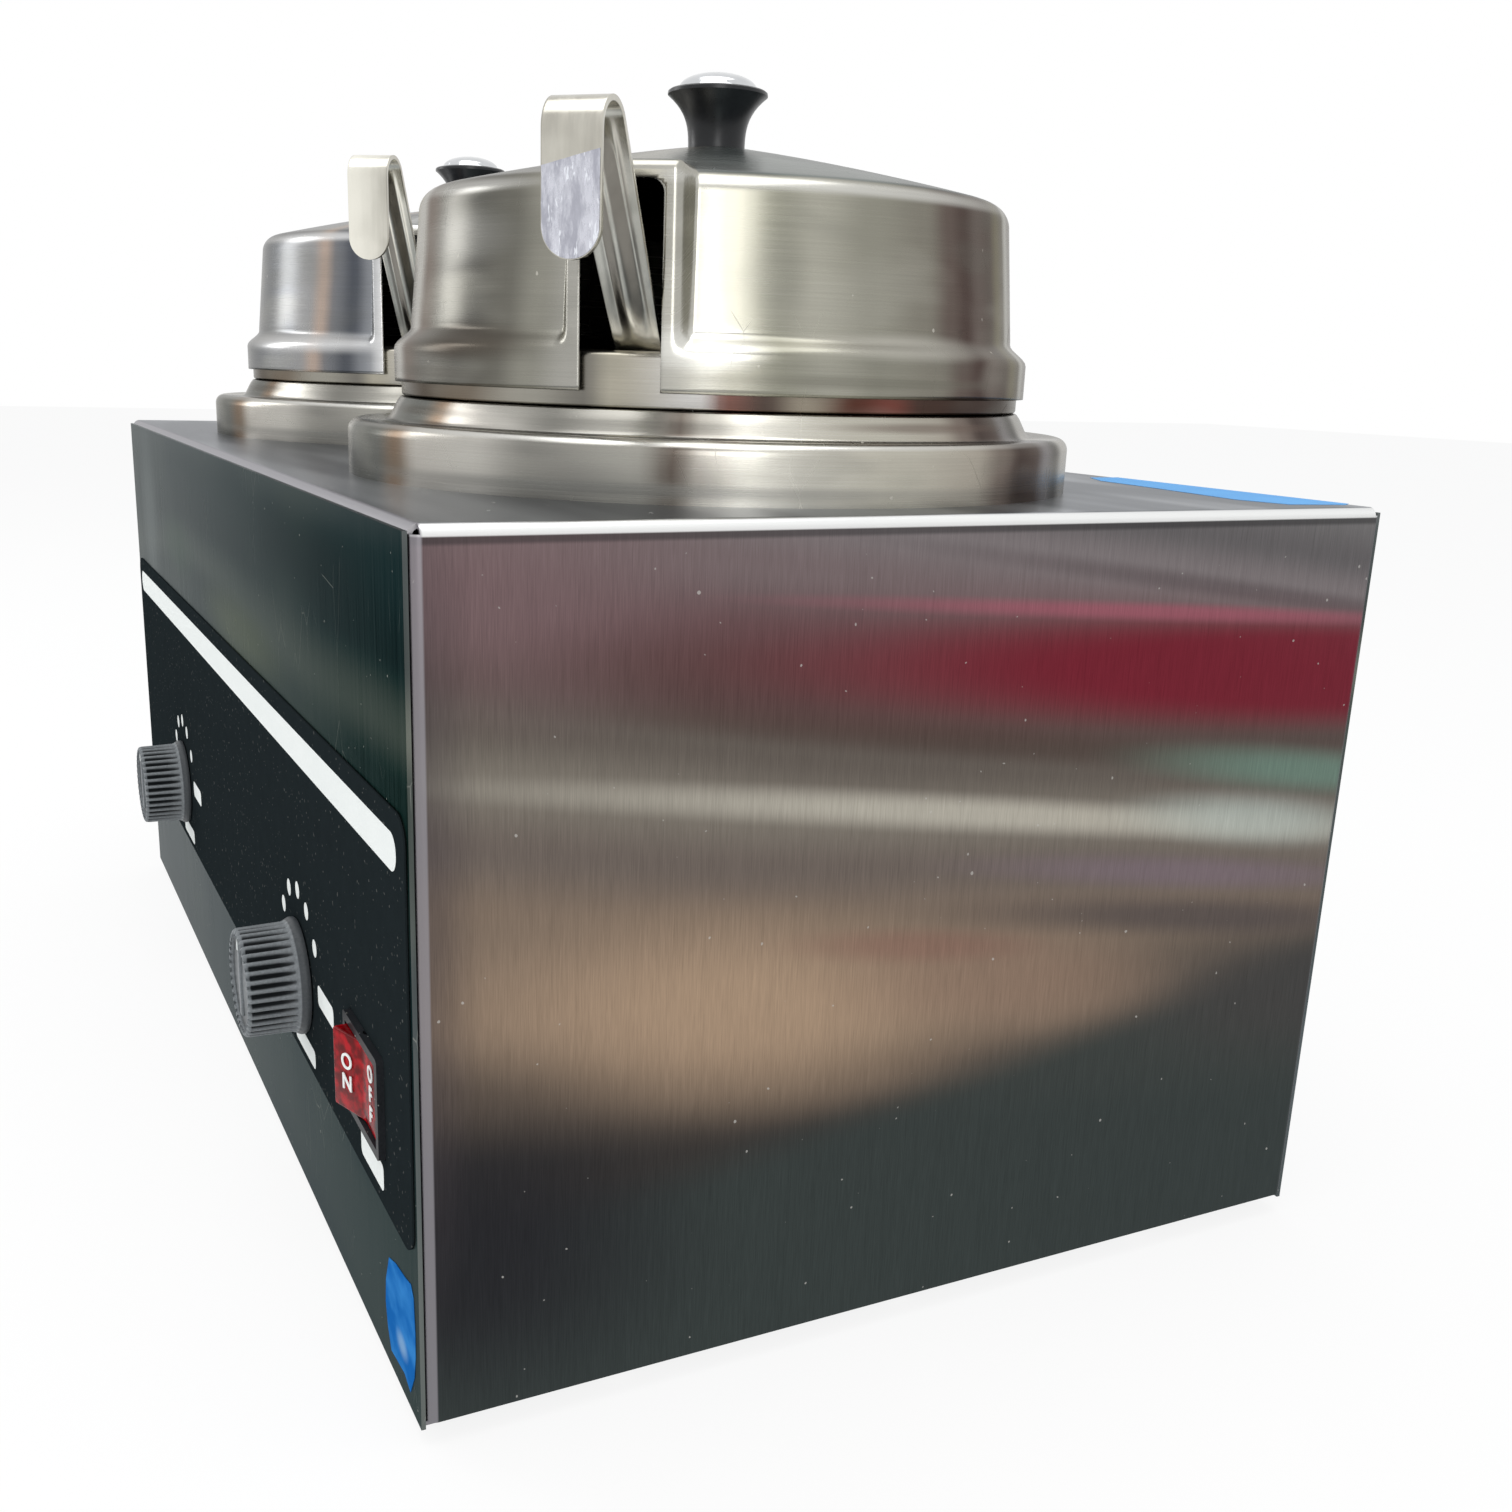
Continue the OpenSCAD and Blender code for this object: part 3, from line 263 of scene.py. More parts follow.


# %% [markdown]
# ## Brushed casing steel
# The wrapper is one sheet, brushed before it was folded, so its grain runs up the sides and on
# across the top. A noise that is squeezed along Y and stretched along X and Z follows the fold.
# Steel has hardly a colour of its own. What the eye reads as its colour is mostly reflection, so a
# few broad, soft painted reflections are laid out over the height: light at the top, a wine red band
# towards the rear, warm grey in the middle and near black at the foot.

# %% Casing steel
casing = Finish("brushed_casing", Metallic=1, Roughness=0.3, Specular_Tint=(0.6, 0.6, 0.62, 1))
grain = casing.noise(casing.place((40, 1500, 40)), 1, 3, 0.6)
fine = casing.noise(casing.place((140, 5200, 140)), 1, 2, 0.6)
y, z = casing.axis(casing.place(), "Y"), casing.axis(casing.place(), "Z")
height = z + y * 0.14
drift = (casing.noise(casing.place((3.5, 4.5, 9)), 1, 1) - 0.5) * 0.012
# The bands over the height are painted reflections.
tone = casing.bands((height + drift) * 4.5, [
    (0.02, 62, 68, 67), (0.14, 56, 59, 59), (0.225, 62, 59, 57),
    (0.3, 100, 89, 80), (0.38, 132, 115, 100), (0.47, 126, 111, 98),
    (0.53, 108, 99, 93), (0.587, 124, 118, 109), (0.64, 100, 93, 87),
    (0.685, 90, 79, 75), (0.75, 104, 86, 87), (0.81, 118, 105, 106),
    (0.86, 124, 117, 118), (0.9, 102, 99, 100), (0.95, 116, 114, 114),
    (1, 104, 103, 104),
])
# Near black at the foot: a painted dark reflection of the floor.
foot = (height - y * 0.3).between(0.069, 0.053)
tone = casing.mix(foot * 0.93, tone, rgba(60, 66, 65))
leaning = casing.node("CombineXYZ", {}, {1: y, 2: height})
# Soft patches of painted reflection: warm browns, greys, a green, pale bands and a dark patch low at the
# front.
tone = casing.blots(tone, [
    ((0, 0.125, 0.088), (0, 0.1, 0.029), (70, 69, 68), 0.9),
    ((0, -0.045, 0.083), (0, 0.08, 0.03), (172, 147, 123), 0.75),
    ((0, 0.025, 0.09), (0, 0.065, 0.017), (138, 115, 100), 0.6),
    ((0, 0.09, 0.189), (0, 0.13, 0.0036), (92, 82, 84), 0.6),
    ((0, -0.1, 0.168), (0, 0.06, 0.032), (122, 102, 104), 0.65),
    ((0, -0.045, 0.157), (0, 0.06, 0.014), (82, 70, 68), 0.7),
    ((0, 0.02, 0.1475), (0, 0.13, 0.006), (82, 71, 66), 0.75),
    ((0, 0.12, 0.1462), (0, 0.08, 0.008), (108, 132, 120), 0.85),
    ((0, 0.02, 0.1305), (0, 0.165, 0.0058), (178, 173, 161), 0.9),
    ((0, 0.1, 0.1325), (0, 0.055, 0.009), (176, 184, 177), 0.7),
    ((0, 0.08, 0.118), (0, 0.09, 0.006), (120, 107, 113), 0.85),
    ((0, 0.085, 0.1065), (0, 0.105, 0.0072), (82, 76, 76), 0.75),
    ((0, 0.000, 0.0985), (0, 0.045, 0.006), (132, 98, 88), 0.5),
    ((0, -0.112, 0.03), (0, 0.075, 0.052), (44, 44, 47), 0.92),
    ((0, -0.117, 0.11), (0, 0.015, 0.12), (72, 66, 69), 0.55),
], leaning)
# The wine red band is a painted reflection, and it leans less than the others. It has a haze, a core and a
# thin pink upper edge.
level = casing.node("CombineXYZ", {}, {1: y, 2: z + y * 0.065})
tone = casing.blots(tone, [((0, 0.05, 0.164), (0, 0.18, 0.021), (108, 66, 70), 0.8)], level)
red_reflection_core = casing.blot((0, 0.13, 0.1632), (0, 0.195, 0.0175), level, 0.45)
tone = casing.mix(red_reflection_core * 0.85, tone, rgba(116, 36, 50))
tone = casing.blots(tone, [((0, 0.06, 0.1768), (0, 0.125, 0.003), (160, 92, 106), 0.7)], level)
streak = (grain - 0.5) * 0.3 + (fine - 0.5) * 0.6 + 0.5
tone = casing.shade(tone, streak, (0.3, 0.8), (0.7, 1.17))
# The flat top, picked by its normal, gets painted reflections of its own, and the folds get painted
# highlights where they catch the light.
normal = casing.node("NewGeometry", out="Normal")
flat_top = casing.axis(normal, "Z").between(0.9, 0.98)
upright = 1 - flat_top
sheen = casing.noise(casing.place((5, 26, 1), (0.03, 0, 0)), 1, 2).between(0.42, 0.62)
tone = casing.mix(flat_top * 0.92, tone, casing.mix(sheen, rgba(116, 121, 124), rgba(180, 184, 186)))
lean = casing.axis(normal, "X") * casing.axis(normal, "Z")
fold = lean * lean * 4
# A painted highlight runs along the top fold, with a painted dark reflection in a thin band just below it.
edge = z.between(0.1934, 0.1938)
under = z.between(0.1916, 0.1926) * (1 - edge)
tone = casing.mix(under * upright * 0.6, tone, rgba(52, 52, 53))
glint = edge * upright * 0.85 + fold.between(0.1, 0.8) * 0.15
tone = casing.mix(glint, tone, rgba(240, 241, 240))
# A painted highlight along the front fold.
front_fold_highlight = y.between(-0.1142, -0.1147)
tone = casing.mix(front_fold_highlight * 0.7, tone, rgba(144, 141, 146))
dust = casing.specks(0.0016, 0.155)
tone = casing.mix(dust * 0.5, tone, rgba(205, 203, 198))
casing.feed(Base_Color=tone, Roughness=streak * 0.14 + 0.24 + dust * 0.3)
casing.relief(streak, 0.2, 0.00006)

# %% [markdown]
# The panels are cut from a shinier sheet. Its grain is fine, and it holds dust and light scratches,
# which are the thin edges between the cells of a stretched Voronoi pattern.

# %% Panel steel
panel = Finish("panel_steel", Metallic=1, Roughness=0.24, Specular_Tint=(0.25, 0.275, 0.28, 1))
grain = panel.noise(panel.place((900, 900, 16)), 1, 3, 0.6)
drift = (panel.noise(panel.place((3.5, 4.5, 9)), 1, 1) - 0.5) * 0.28
# The tones over the height are painted reflections.
tone = panel.bands(panel.axis(panel.place(), "Z") * 5 + drift, [
    (0, 74, 81, 83), (0.2, 80, 88, 91), (0.5, 70, 77, 78), (0.69, 66, 73, 69),
    (0.74, 104, 108, 100), (0.82, 64, 70, 69), (0.92, 74, 80, 80),
    (1, 106, 110, 110),
])
cloud = panel.noise(panel.place((7, 7, 16)), 1, 2).between(0.45, 0.66)
tone = panel.mix(cloud * 0.3, tone, rgba(126, 130, 120))
# Soft patches of painted reflection: a pale one far to the left, a green, a yellowish and a dark one.
tone = panel.blots(tone, [
    ((-0.165, -0.118, 0.16), (0.03, 0.1, 0.05), (176, 181, 178), 0.5),
    ((-0.09, -0.118, 0.158), (0.05, 0.1, 0.014), (86, 112, 84), 0.45),
    ((0.03, -0.118, 0.147), (0.08, 0.1, 0.013), (156, 160, 122), 0.5),
    ((0.12, -0.118, 0.18), (0.1, 0.1, 0.016), (52, 56, 55), 0.6),
])
scratch = panel.cracks(panel.place((30, 30, 8)), 3, 0.006)
scratch = scratch * panel.noise(panel.place((40, 40, 40)), 1, 2).between(0.52, 0.6)
dust = panel.specks(0.0011, 0.16)
tone = panel.mix((grain - 0.5) * 0.3 + 0.08, tone, rgba(150, 152, 150))
tone = panel.mix(dust * 0.5 + scratch * 0.25, tone, rgba(206, 206, 198))
panel.feed(Base_Color=tone, Roughness=grain * 0.12 + 0.17 + dust * 0.3 + scratch * 0.2)
panel.relief(grain, 0.2, 0.00006)

# %% [markdown]
# ## Spun steel
# Collars, insets and lids are turned on a lathe, and the brush marks run round them. Such a surface
# shows light and dark bands that fan out from its axis, and here these bands are painted reflections
# in the colour. The pattern is read in polar form: the angle gives the bands, the height and the
# distance from the axis give the fine rings.

# %% Spun steel, one finish for each part of a unit
AXIS = {"right": (0.103, -0.00375), "left": (-0.103, -0.00375)}
# Each band table is a ring of painted reflections, by the turn round the axis.
LID_REFLECTION_BANDS = [
    (0, 190, 188, 180), (0.2, 200, 198, 190), (0.236, 218, 216, 210), (0.25, 134, 122, 114),
    (0.272, 132, 131, 126), (0.298, 98, 97, 93), (0.325, 122, 120, 112), (0.345, 162, 160, 149),
    (0.365, 190, 188, 180), (0.402, 196, 194, 185), (0.421, 204, 202, 191), (0.436, 172, 170, 157),
    (0.455, 156, 155, 141), (0.476, 186, 184, 170), (0.503, 160, 158, 145), (0.535, 144, 140, 129),
    (0.552, 112, 100, 94), (0.566, 90, 76, 72), (0.578, 112, 100, 95), (0.592, 100, 90, 84),
    (0.603, 126, 119, 98), (0.613, 116, 110, 98), (0.62, 214, 214, 208),
    (0.632, 146, 141, 136), (0.7, 188, 186, 178), (0.82, 150, 148, 142), (1, 190, 188, 180),
]
COLLAR_REFLECTION_BANDS = [
    (0, 180, 178, 170), (0.2, 196, 194, 186), (0.226, 214, 213, 208), (0.24, 98, 102, 99),
    (0.272, 104, 106, 103), (0.29, 130, 112, 96), (0.305, 200, 196, 188), (0.335, 206, 203, 195),
    (0.36, 150, 148, 142), (0.4, 176, 174, 166), (0.414, 104, 95, 88), (0.425, 172, 168, 160),
    (0.444, 234, 231, 220), (0.5, 204, 200, 186), (0.536, 186, 179, 166), (0.554, 136, 124, 116),
    (0.566, 84, 72, 68), (0.58, 92, 79, 75), (0.592, 148, 144, 146), (0.606, 80, 78, 78),
    (0.618, 214, 212, 208), (0.66, 140, 137, 132),
    (0.8, 170, 168, 161), (1, 180, 178, 170),
]
INSET_REFLECTION_BANDS = [
    (0, 150, 147, 140), (0.22, 150, 147, 141), (0.262, 92, 80, 69), (0.3, 134, 122, 108),
    (0.345, 196, 192, 180), (0.371, 146, 142, 134), (0.384, 206, 200, 182),
    (0.42, 236, 234, 230), (0.432, 138, 100, 91),
    (0.45, 98, 84, 77), (0.468, 172, 162, 145), (0.492, 104, 68, 58), (0.512, 134, 82, 73),
    (0.53, 86, 68, 61), (0.6, 78, 65, 61), (0.63, 150, 146, 140), (0.7, 136, 132, 126),
    (1, 150, 147, 140),
]
FAR_LID_REFLECTION_BANDS = [
    (0, 192, 194, 198), (0.201, 238, 239, 240), (0.222, 160, 163, 167), (0.27, 136, 139, 143),
    (0.3, 150, 152, 155), (0.325, 168, 168, 168), (0.338, 200, 180, 166), (0.35, 132, 134, 139),
    (0.365, 92, 96, 104), (0.38, 156, 159, 164), (0.392, 250, 250, 250), (0.42, 228, 228, 226),
    (0.46, 180, 178, 168), (0.54, 150, 148, 140), (0.6, 200, 198, 192),
    (0.75, 160, 160, 156), (1, 192, 194, 198),
]


def spun(name, side, bands, spots=(), dark=0):
    """Bands are painted reflections round the axis. Spots are painted highlights and reflections, patches
    in the picture of the unrolled wall: turn, height, reach, colour, strength. Dark is a share of painted
    shade.
    """
    finish = Finish(name, Metallic=1, Roughness=0.26, Specular_Tint=(0.7, 0.69, 0.67, 1))
    centre = (*AXIS[side], 0)
    spot = finish.place(centre=centre)
    x, y, z = (finish.axis(spot, letter) for letter in "XYZ")
    away = finish.length(finish.place((1, 1, 0), centre))
    angle = finish.node("Math", {"operation": "ARCTAN2"}, {0: y, 1: x})
    turn = finish.node("Math", {"operation": "FRACT"}, {0: angle * (1 / tau) + 1.5})
    ring = finish.node("CombineXYZ", {}, {0: (away + z * 1.3) * 2100, 1: x * 26, 2: y * 26})
    rings = finish.noise(ring, 1, 3, 0.65)
    patch = finish.noise(finish.place((24, 24, 60), centre), 1, 2)
    drift = (finish.noise(finish.place((12, 12, 34), centre), 1, 2) - 0.5) * 0.014
    # The bands are painted reflections.
    tone = finish.bands(turn + drift, bands)
    tone = finish.mix(patch.between(0.46, 0.66) * 0.2, tone, rgba(204, 202, 190))
    tone = finish.mix(patch.between(0.46, 0.3) * 0.25, tone, rgba(120, 120, 112))
    # The spots are painted highlights and reflections.
    for at, height, wide, tall, colour, strength in spots:
        seat = finish.node("CombineXYZ", {}, {0: (turn - at) * (1 / wide), 1: (z - height) * (1 / tall)})
        near = finish.length(seat).between(1, 0.2)
        tone = finish.mix(near * strength, tone, rgba(*colour))
    tone = finish.shade(tone, rings, (0.3, 0.71), (0.72, 0.79))
    # Dark is painted shade: the inset and its well sit under the lid.
    if dark:
        tone = finish.mix(dark, tone, (0.03, 0.03, 0.03, 1))
    # Up-facing faces in a narrow band of height and turn get a painted teal-grey reflection.
    normal_z = finish.axis(finish.node("NewGeometry", out="Normal"), "Z")
    crown = normal_z.between(0.8, 0.93) * z.between(0.25, 0.256) * turn.between(0.36, 0.43)
    crown_reflection = finish.mix(patch.between(0.4, 0.6), rgba(74, 88, 92), rgba(116, 128, 130))
    tone = finish.mix(crown * 0.8, tone, crown_reflection)
    dust = finish.specks(0.0021, 0.13)
    tone = finish.mix(dust * 0.45, tone, rgba(222, 218, 208))
    scuff = finish.cracks(finish.place((60, 60, 22)), 1.6, 0.008)
    scuff = scuff * finish.noise(finish.place((50, 50, 50)), 1, 2).between(0.55, 0.62)
    finish.feed(Base_Color=tone, Roughness=rings * 0.12 + 0.2 + scuff * 0.2 + dust * 0.2)
    return finish.relief(rings, 0.12, 0.00006)


# Spots of painted highlight and dark reflection on the walls.
LID_REFLECTION_SPOTS = [
    (0.42, 0.2285, 0.04, 0.0065, (250, 249, 242), 0.8), (0.3, 0.2285, 0.07, 0.006, (86, 78, 70), 0.75),
    (0.52, 0.23, 0.07, 0.004, (214, 211, 200), 0.6), (0.29, 0.252, 0.05, 0.008, (164, 163, 158), 0.5),
    (0.5, 0.263, 0.16, 0.0022, (238, 237, 231), 0.7), (0.29, 0.263, 0.07, 0.0022, (226, 225, 220), 0.7),
    (0.5, 0.2222, 0.1, 0.002, (128, 126, 115), 0.5), (0.28, 0.2215, 0.06, 0.003, (104, 100, 94), 0.5),
    (0.455, 0.244, 0.02, 0.014, (150, 149, 138), 0.6),
]
COLLAR_REFLECTION_SPOTS = [
    (0.42, 0.209, 0.2, 0.0012, (246, 245, 240), 0.85), (0.4, 0.199, 0.2, 0.0022, (138, 138, 134), 0.5),
    (0.27, 0.2125, 0.06, 0.0016, (84, 80, 74), 0.6), (0.53, 0.2125, 0.07, 0.0016, (120, 104, 96), 0.6),
]
FAR_REFLECTION_SPOTS = [
    (0.33, 0.2285, 0.12, 0.0045, (250, 250, 250), 0.7),
    (0.33, 0.263, 0.12, 0.0022, (250, 250, 250), 0.7),
]
lid_steel = {
    "right": spun("lid_steel_right", "right", LID_REFLECTION_BANDS, LID_REFLECTION_SPOTS),
    "left": spun("lid_steel_left", "left", FAR_LID_REFLECTION_BANDS, FAR_REFLECTION_SPOTS),
}
collar_steel = {s: spun("collar_steel_" + s, s, COLLAR_REFLECTION_BANDS, COLLAR_REFLECTION_SPOTS) for s in AXIS}
inner_steel = {s: spun("inner_steel_" + s, s, INSET_REFLECTION_BANDS, (), 0.12) for s in AXIS}

# %% [markdown]
# ## Plastics, rubber and small metals
# The other finishes are one colour each, broken by a fine noise in colour, roughness and relief,
# because no moulded or plated surface is even. One recipe serves them all.

# %% The recipe and its finishes
def fine_grain(name, light, dark, size, rough, relief=0.2, dust=0, **shader):
    finish = Finish(name, **shader)
    grain = finish.noise(finish.place(), 1 / size, 3, 0.6)
    wear = finish.noise(finish.place(), 1 / (size * 14), 2)
    tone = finish.mix(grain * 0.6 + wear * 0.4, rgba(*dark), rgba(*light))
    if dust:
        tone = finish.mix(finish.specks(0.0011, 0.21) * dust, tone, rgba(190, 190, 184))
    finish.feed(Base_Color=tone, Roughness=grain * 0.14 + wear * 0.1 + (rough - 0.12))
    return finish.relief(grain, relief, size * 0.1)


film = fine_grain(
    "graphic_film", (42, 48, 50), (32, 37, 39), 0.0004, 0.4, 0.12, 0.12, Specular_IOR_Level=0)
print_white = fine_grain(
    "white_print", (240, 243, 241), (226, 231, 229), 0.0008, 0.45, 0.1, Specular_IOR_Level=0)

# The grooves between the flutes of a dial knob get painted shade, and the skirt next to the panel is made
# darker.
dial_grey = Finish("dial_plastic", Roughness=0.42, Specular_IOR_Level=0.2)
grain = dial_grey.noise(dial_grey.place(), 1400, 3, 0.6)
spot = dial_grey.place(centre=(0, 0, 0.0675))
x, y, z = (dial_grey.axis(spot, letter) for letter in "XYZ")
seat = dial_grey.node("CombineXYZ", {}, {0: dial_grey.size(x) - 0.103, 2: z})
groove = dial_grey.length(seat).between(0.01425, 0.0135) * y.between(-0.1334, -0.133)
tone = dial_grey.mix(grain, rgba(92, 96, 99), rgba(142, 147, 150))
tone = dial_grey.mix(groove * 0.95, tone, rgba(26, 29, 31))
skirt = y.between(-0.1212, -0.1208)
tone = dial_grey.mix(skirt * 0.75, tone, rgba(40, 43, 46))
dial_grey.feed(Base_Color=tone, Roughness=grain * 0.2 + 0.32).relief(grain, 0.3, 0.00006)
knob_black = fine_grain(
    "black_phenolic", (34, 36, 39), (18, 19, 21), 0.0012, 0.3, 0.08, Specular_IOR_Level=0.35)
housing_black = fine_grain(
    "switch_black", (52, 54, 57), (20, 22, 24), 0.0007, 0.34, 0.25, 0.6, Specular_IOR_Level=0.05)
rubber = fine_grain("black_rubber", (38, 38, 39), (22, 22, 23), 0.0006, 0.7, 0.4)
chrome = fine_grain("cap_chrome", (222, 224, 226), (186, 188, 190), 0.003, 0.13, 0.05, Metallic=1)
zinc = fine_grain("zinc_screw", (184, 184, 180), (140, 140, 136), 0.0009, 0.36, 0.2, Metallic=1)
brass = fine_grain("brass", (214, 180, 104), (170, 136, 74), 0.0009, 0.32, 0.2, Metallic=1)
copper = fine_grain("copper", (206, 136, 100), (150, 92, 66), 0.0009, 0.32, 0.2, Metallic=1)
sheath = fine_grain("heater_sheath", (104, 98, 92), (60, 56, 54), 0.0008, 0.46, 0.3, Metallic=1)
phenolic = fine_grain("cream_phenolic", (212, 200, 172), (184, 170, 140), 0.0008, 0.46, 0.2)
wool = fine_grain("glass_wool", (224, 208, 150), (178, 160, 104), 0.0018, 0.9, 1)
wire_red = fine_grain("wire_cover", (164, 52, 44), (120, 34, 30), 0.0008, 0.5, 0.2)
lamp_glass = fine_grain(
    "lamp_glass", (255, 190, 140), (240, 150, 96), 0.0012, 0.14, 0.05, Transmission_Weight=0.6)

red = Finish("rocker_red", Roughness=0.16, Specular_IOR_Level=0.04)
depth = red.noise(red.place(), 320, 2)
tone = red.mix(depth.between(0.35, 0.7), rgba(92, 4, 12), rgba(168, 14, 28))
red.feed(Base_Color=tone, Roughness=depth * 0.1 + 0.12)

blue = Finish("blue_film", Roughness=0.3, Specular_IOR_Level=0)
crease = blue.noise(blue.place((60, 60, 90)), 1, 3)
tone = blue.mix(crease.between(0.4, 0.66), rgba(34, 100, 172), rgba(58, 128, 196))
# The rear piece lies flat on the top and is painted lighter: painted light on a face that looks up.
rear_painted_light = blue.axis(blue.place(), "Y").between(0.05, 0.08)
tone = blue.mix(rear_painted_light * 0.75, tone, rgba(132, 188, 240))
tone = blue.blots(tone, [((0.197, -0.117, 0.016), (0.006, 0.05, 0.004), (150, 182, 210), 0.6)])
blue.feed(Base_Color=tone, Roughness=crease * 0.3 + 0.15).relief(crease, 0.4, 0.0003)

ladle_steel = Finish("ladle_steel", Metallic=1, Roughness=0.24)
grain = ladle_steel.noise(ladle_steel.place((420, 420, 40)), 1, 3, 0.6)
patch = ladle_steel.noise(ladle_steel.place(), 70, 2)
tone = ladle_steel.mix(patch.between(0.35, 0.65), rgba(182, 179, 169), rgba(206, 203, 193))
normal = ladle_steel.node("NewGeometry", out="Normal")
sideways = (0.656, 0.755, 0)  # across the handles, between the turns of the two ladles
flank = ladle_steel.node("VectorMath", {"operation": "DOT_PRODUCT"}, {0: normal, 1: sideways}, "Value")
flank = ladle_steel.size(flank)
# Rib flanks that face partly across the handle get a painted dark reflection.
tone = ladle_steel.mix(flank.between(0.12, 0.34) * flank.between(0.86, 0.7) * 0.8, tone, rgba(96, 92, 86))
tone = ladle_steel.shade(tone, grain, (0.3, 0.9), (0.7, 1.08))
x, z = (ladle_steel.axis(ladle_steel.place(), letter) for letter in "XZ")
# A painted highlight on the far ladle's hook.
far_hook_highlight = x.between(0, -0.01) * z.between(0.236, 0.242)
tone = ladle_steel.mix(far_hook_highlight * flank.between(0.2, 0.1) * 0.7, tone, rgba(252, 250, 238))
ladle_steel.feed(Base_Color=tone, Roughness=grain * 0.14 + 0.16).relief(grain, 0.15, 0.00005)

clear = Finish("clear_film", Roughness=0.25, Metallic=0.8)
crease = clear.noise(clear.place((420, 420, 110)), 1, 4, 0.7)
# The flecks are painted highlights on the crinkled film.
fleck_highlight = clear.noise(clear.place((520, 520, 150)), 1, 3, 0.7).between(0.57, 0.63)
tone = clear.mix(crease.between(0.36, 0.62), rgba(170, 171, 181), rgba(208, 209, 218))
tone = clear.mix(fleck_highlight * 0.8, tone, rgba(240, 243, 250))
clear.feed(Base_Color=tone, Roughness=crease * 0.4 + 0.05).relief(crease, 0.5, 0.0002)

# %% [markdown]
# ## Dressing the plain solids
# A solid whose shape is right keeps its mesh and only gets a finish. The table says which.

# %% Finishes of the CAD nodes
def both(*names):
    return [f"{name}_{side}" for name in names for side in AXIS]


DRESS = {
    casing: ["body_wrap", "bottom_pan"],
    panel: ["front_panel", "rear_panel"],
    film: ["control_film"],
    rubber: ["rubber_feet", "cord_bushing"],
    zinc: ["foot_screws", "front_nuts", "rear_screws", "bottom_screws", "heater_nuts", "bulb_clips",
           *both("lid_screw", "heater_bar", "dial_shaft")],
    brass: ["thermostat_nuts", "switch_tabs", "terminal_screws", "earth_stud"],
    copper: both("capillary"),
    sheath: both("heater"),
    phenolic: ["terminal_block", *both("thermostat")],
    wool: both("insulation"),
    wire_red: ["wiring"],
    lamp_glass: ["pilot_lamp"],
    housing_black: ["switch_housing"],
    red: ["power_rocker"],
    knob_black: both("lid_knob"),
    chrome: both("knob_cap"),
    dial_grey: both("dial_knob"),
    ladle_steel: both("ladle"),
}
for side in AXIS:
    DRESS[collar_steel[side]] = ["collar_" + side]
    DRESS[lid_steel[side]] = ["lid_" + side]
    DRESS[inner_steel[side]] = ["water_well_" + side, "inset_" + side]
for finish, names in DRESS.items():
    for name in names:
        mesh = nodes[name].data
        mesh.materials.clear()
        mesh.materials.append(finish.material)

# %% [markdown]
# ## Tools for new pieces
# New pieces are drawn in millimetres about their own axis, and then placed by a matrix that repeats
# the CAD model's moves. A closed outline spun round Z gives a wall that has its true thickness.

# %% Helpers for meshes
def turned(angle, axis="Z"):
    return Matrix.Rotation(radians(angle), 4, axis)


def moved(x, y, z):
    return Matrix.Translation((x, y, z))


FRONT, TOP = -117.75, 196
UNIT = {"right": moved(103, -3.75, TOP), "left": moved(-103, -3.75, TOP)}


def piece(name, mesh, finish, body, place, replaces, sharp=35, wall=0, bevel=0):
    """Turns a bmesh in millimetres into a placed, smooth piece that rides on a body."""
    bmesh.ops.remove_doubles(mesh, verts=mesh.verts, dist=0.0005)
    mesh.transform(Matrix.Scale(0.001, 4) @ place)
    bmesh.ops.recalc_face_normals(mesh, faces=mesh.faces)
    data = bpy.data.meshes.new(name)
    mesh.to_mesh(data)
    mesh.free()
    made = linked(name, data)
    data.materials.append(finish.material)
    data.polygons.foreach_set("use_smooth", [True] * len(data.polygons))
    data.set_sharp_from_angle(angle=radians(sharp))
    if wall:
        solid = made.modifiers.new("wall", "SOLIDIFY")
        solid.thickness, solid.offset = wall * 0.001, 0
        solid.use_even_offset = True
    if bevel:
        edge = made.modifiers.new("edge", "BEVEL")
        edge.width, edge.segments, edge.limit_method = bevel * 0.001, 2, "ANGLE"
        edge.angle_limit = radians(50)
        edge.harden_normals = False
    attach(made, body)
    if replaces:
        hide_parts(*replaces)


def outline(mesh, points, closed=True):
    verts = [mesh.verts.new(p) for p in points]
    pairs = list(zip(verts, verts[1:])) + ([(verts[-1], verts[0])] if closed else [])
    return verts + [mesh.edges.new(pair) for pair in pairs]


def lathe(points, steps=180, closed=True, start=0, sweep=360):
    """Spins an outline of (distance from the axis, height) round Z."""
    mesh = bmesh.new()
    geom = outline(mesh, [(r, 0, z) for r, z in points], closed)
    bmesh.ops.rotate(mesh, verts=mesh.verts, matrix=turned(start).to_3x3())
    bmesh.ops.spin(mesh, geom=geom, cent=(0, 0, 0), axis=(0, 0, 1), angle=radians(sweep),
                   steps=steps, use_merge=sweep == 360)
    return mesh


def arc(x, z, radius, start, end, steps=6):
    """Points of an arc in the outline's plane, its angles counted from +X towards +Z."""
    angles = [radians(start + (end - start) * i / steps) for i in range(steps + 1)]
    return [(x + radius * cos(a), z + radius * sin(a)) for a in angles]


def push(mesh, made, way):
    """Moves the points that an extrusion has made."""
    verts = [g for g in made["geom"] if isinstance(g, bmesh.types.BMVert)]
    bmesh.ops.translate(mesh, verts=verts, vec=way)


def prism(points, way):
    """A flat outline pulled out along a vector into a solid."""
    mesh = bmesh.new()
    face = bmesh.ops.contextual_create(mesh, geom=outline(mesh, points))["faces"]
    push(mesh, bmesh.ops.extrude_face_region(mesh, geom=face), way)
    return mesh


def slab(points, thick, low=0):
    """A plate in X and Y that rises from low."""
    return prism([(x, y, low) for x, y in points], (0, 0, thick))


